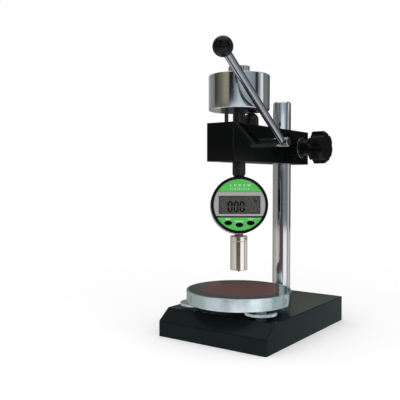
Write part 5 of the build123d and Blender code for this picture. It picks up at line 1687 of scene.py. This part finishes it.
@dataclass
class Studio:
    """Floor, reflections, lamps and camera."""

    camera_place: Vector = field(default_factory=lambda: Vector((0.32492, -0.55614, 0.16266)))
    camera_turn: float = 35.749
    camera_dip: float = 1.968
    lens: float = 52.66
    floor_reach: float = 0.9
    clip_start: float = 0.01
    sky_strength: float = 0.78
    seen_sky_extra: float = 0.22
    floor_drop: float = 0.1 * MM
    floor_fade: Point = (0.24, 0.62)
    floor_glow: float = 0.16
    floor_colour: Triple = (0.93, 0.93, 0.93)
    floor_roughness: float = 0.9
    drum_radius: float = 1.1
    drum_height: Point = (-0.6, 1.8)
    foot_start: Point = (-0.165, -0.14)
    low_start: Point = (0.0, 0.03)
    high_start: Point = (0.362, 0.372)
    middle_start: Point = (0.20, 0.26)
    high_bands: Bands = (
        (-160.0, (0.42, 0.42, 0.42)), (-125.0, (0.26, 0.26, 0.25)), (-107.0, (0.22, 0.22, 0.20)),
        (-102.0, (0.04, 0.04, 0.035)), (-94.0, (0.06, 0.06, 0.05)), (-70.0, (0.18, 0.165, 0.13)),
        (-58.0, (0.31, 0.28, 0.20)), (-43.0, (0.30, 0.28, 0.20)), (-39.0, (0.015, 0.012, 0.014)),
        (-28.0, (0.015, 0.013, 0.02)), (-23.0, (0.13, 0.15, 0.16)), (-4.0, (0.48, 0.58, 0.64)),
        (14.0, (0.34, 0.41, 0.44)), (54.0, (0.24, 0.26, 0.27)), (58.0, (0.02, 0.025, 0.03)),
        (65.0, (0.03, 0.035, 0.04)), (78.0, (0.42, 0.43, 0.46)), (84.0, (0.85, 0.87, 0.88)),
        (92.0, (0.80, 0.82, 0.83)), (97.0, (0.16, 0.17, 0.17)), (112.0, (0.22, 0.23, 0.22)),
        (150.0, (0.06, 0.065, 0.065)))
    middle_bands: Bands = (
        (-172.0, (0.14, 0.11, 0.115)), (-150.0, (0.16, 0.16, 0.16)), (-100.0, (0.21, 0.21, 0.21)),
        (-70.0, (0.12, 0.12, 0.12)), (-50.0, (0.10, 0.11, 0.11)), (-42.0, (0.20, 0.23, 0.26)),
        (-30.0, (0.72, 0.84, 0.92)), (15.0, (0.78, 0.88, 0.92)), (32.0, (0.50, 0.53, 0.53)),
        (46.0, (0.20, 0.22, 0.21)), (66.0, (0.11, 0.12, 0.12)), (76.0, (0.48, 0.50, 0.53)),
        (92.0, (0.45, 0.47, 0.50)), (104.0, (0.05, 0.05, 0.055)), (140.0, (0.05, 0.05, 0.055)),
        (152.0, (0.46, 0.50, 0.42)), (168.0, (0.46, 0.50, 0.42)), (172.0, (0.14, 0.11, 0.115)))
    low_bands: Bands = (
        (-170.0, (0.26, 0.26, 0.25)), (-110.0, (0.28, 0.28, 0.26)), (-66.0, (0.30, 0.29, 0.28)),
        (-58.0, (0.045, 0.045, 0.05)), (-30.0, (0.035, 0.04, 0.05)), (4.0, (0.05, 0.06, 0.07)),
        (11.0, (0.16, 0.18, 0.19)), (42.0, (0.20, 0.22, 0.23)), (60.0, (0.16, 0.17, 0.17)),
        (76.0, (0.20, 0.21, 0.21)), (84.0, (0.50, 0.51, 0.50)), (106.0, (0.52, 0.53, 0.52)),
        (114.0, (0.03, 0.03, 0.03)), (150.0, (0.05, 0.05, 0.05)))
    foot_bands: Bands = (
        (-170.0, (0.26, 0.26, 0.25)), (-110.0, (0.40, 0.42, 0.37)), (-92.0, (0.44, 0.45, 0.41)),
        (-80.0, (0.60, 0.54, 0.50)), (-42.0, (0.62, 0.56, 0.53)), (-32.0, (0.10, 0.08, 0.07)),
        (12.0, (0.10, 0.08, 0.07)), (22.0, (1.0, 1.0, 0.98)), (62.0, (1.0, 1.0, 0.98)),
        (72.0, (0.24, 0.24, 0.24)), (86.0, (0.50, 0.51, 0.50)), (110.0, (0.60, 0.61, 0.60)),
        (150.0, (0.20, 0.20, 0.20)))
    ground_bands: Bands = (
        (-160.0, (0.28, 0.33, 0.31)), (-82.0, (0.37, 0.43, 0.41)), (-70.0, (0.57, 0.64, 0.71)),
        (-26.0, (0.60, 0.67, 0.74)), (-16.0, (0.97, 1.0, 1.0)), (3.0, (1.0, 1.0, 1.0)),
        (10.0, (0.80, 0.90, 0.92)), (36.0, (0.84, 0.94, 0.97)), (46.0, (0.56, 0.63, 0.66)),
        (62.0, (0.52, 0.59, 0.61)), (72.0, (0.36, 0.44, 0.43)), (96.0, (0.34, 0.42, 0.41)),
        (106.0, (0.24, 0.30, 0.30)), (121.0, (0.42, 0.50, 0.50)), (138.0, (0.25, 0.31, 0.29)))
    lit_point: Vector = field(default_factory=lambda: Vector((0.0, 0.0, 0.14)))
    lamps: tuple[Lamp, ...] = (Lamp("key", -38.0, 0.8, 1.1, 5.0, 1.4), Lamp("fill", 55.0, 0.5, 1.2, 3.0, 1.2))

    def build(self) -> None:
        """Builds the studio."""
        scene = bpy.context.scene
        scene.view_settings.view_transform = "Standard"
        self.world(scene)
        self.floor()
        self.drum()
        for lamp in self.lamps:
            self.lamp(lamp)
        self.camera(scene)

    def world(self, scene: bpy.types.Scene) -> None:
        """Even light all round, and white behind the object.

        Args:
            scene: the scene that gets the world.
        """
        world = bpy.data.worlds.new("studio_world")
        scene.world = world
        world.use_nodes = True
        bench = NodeBench(world.node_tree)
        path = bench.node("ShaderNodeLightPath")
        seen = path.other("Is Camera Ray") + path.other("Is Glossy Ray") + path.other("Is Transmission Ray")
        strength = self.sky_strength + self.seen_sky_extra * (seen > 0.5)
        light = bench.node("ShaderNodeBackground", None, {"Color": WHITE, "Strength": strength})
        bench.node("ShaderNodeOutputWorld", None, {"Surface": light})

    def floor(self) -> None:
        """White floor that fades into the background."""
        level = -self.floor_drop
        piece = Workpiece.turned("studio_floor", [(0.0, level), (self.floor_reach, level)], 64)
        bench = self.bench(piece)
        start, end = self.floor_fade
        fade = 1.0 - bench.soft_step(bench.length(bench.coordinates()), start, end)
        glow = self.floor_glow * bench.node("ShaderNodeLightPath")
        shader = bench.node("ShaderNodeBsdfPrincipled", None, {
            "Base Color": rgba(self.floor_colour), "Roughness": self.floor_roughness,
            "Specular IOR Level": 0.0, "Alpha": fade, "Emission Color": WHITE, "Emission Strength": glow})
        bench.node("ShaderNodeOutputMaterial", None, {"Surface": shader})
        piece.thing.visible_glossy = False

    @staticmethod
    def bench(piece: Workpiece) -> NodeBench:
        """Gives a piece a material of its own name.

        Args:
            piece: the piece.

        Returns:
            The material's bench.
        """
        material = bpy.data.materials.new(piece.thing.name)
        material.use_nodes = True
        piece.thing.data.materials.append(material)
        return NodeBench(material.node_tree)

    def drum(self) -> None:
        """Screens round the object that only reflections see."""
        low, high = self.drum_height
        piece = Workpiece.turned("studio_screens", [(self.drum_radius, low), (self.drum_radius, high)], 96)
        bench = self.bench(piece)
        turned = bench.coordinates(turn=-math.radians(self.camera_turn))
        parts = bench.node("ShaderNodeSeparateXYZ", None, {"Vector": turned})
        angle = parts.calculate("ARCTAN2", parts.other("X"), 0.0 - parts.other("Y"))
        height = parts.other("Z")
        turn = angle / math.tau + 0.5
        ramp = self.ramp(bench, turn, self.ground_bands)
        for start, bands in ((self.foot_start, self.foot_bands), (self.low_start, self.low_bands),
                             (self.middle_start, self.middle_bands), (self.high_start, self.high_bands)):
            ramp = bench.blend(bench.soft_step(height, *start), ramp, self.ramp(bench, turn, bands))
        light = bench.node("ShaderNodeEmission", None, {"Color": ramp, "Strength": 1.0})
        bench.node("ShaderNodeOutputMaterial", None, {"Surface": light})
        for ray in ("camera", "diffuse", "shadow", "transmission", "volume_scatter"):
            setattr(piece.thing, f"visible_{ray}", False)

    @staticmethod
    def ramp(bench: NodeBench, turn: Wire, bands: Bands) -> Wire:
        """Colours round the object by turn, from bands that start at angles in degrees."""
        stops = [((degrees + 180.0) / 360.0, colour) for degrees, colour in bands]
        return bench.node("ShaderNodeValToRGB", {"stops": stops}, {"Fac": turn})

    def lamp(self, lamp: Lamp) -> None:
        """Adds a lamp that no reflection shows.

        Args:
            lamp: where it stands and how bright it is.
        """
        angle = math.radians(self.camera_turn + lamp.turn)
        place = Vector((math.sin(angle) * lamp.distance, -math.cos(angle) * lamp.distance, lamp.height))
        turn = (place - self.lit_point).to_track_quat("Z", "Y").to_euler()
        bpy.ops.object.select_all(action="DESELECT")
        bpy.ops.object.light_add(type="AREA", location=place, rotation=turn)
        light = bpy.context.object
        light.name = f"studio_{lamp.name}"
        light.data.energy = lamp.power
        light.data.size = lamp.size
        light.visible_glossy = False

    def camera(self, scene: bpy.types.Scene) -> None:
        """Camera at the photograph's viewing angle.

        Args:
            scene: the scene that gets the camera.
        """
        bpy.ops.object.select_all(action="DESELECT")
        turn = (math.radians(90.0 - self.camera_dip), 0.0, math.radians(self.camera_turn))
        bpy.ops.object.camera_add(location=self.camera_place, rotation=turn)
        camera = bpy.context.object
        camera.name = "studio_camera"
        camera.data.lens = self.lens
        camera.data.clip_start = self.clip_start
        scene.camera = camera


def main() -> None:
    """Builds every sub-assembly, then the studio."""
    logging.basicConfig(level=logging.INFO, format="%(name)s: %(message)s")
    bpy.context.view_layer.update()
    for assembly in (Stand(), Arm(), Lever(), Loading(), Gauge(), InnerPieces(), Studio()):
        assembly.build()
        LOG.info("%s built", type(assembly).__name__)


if __name__ == "__main__":
    main()
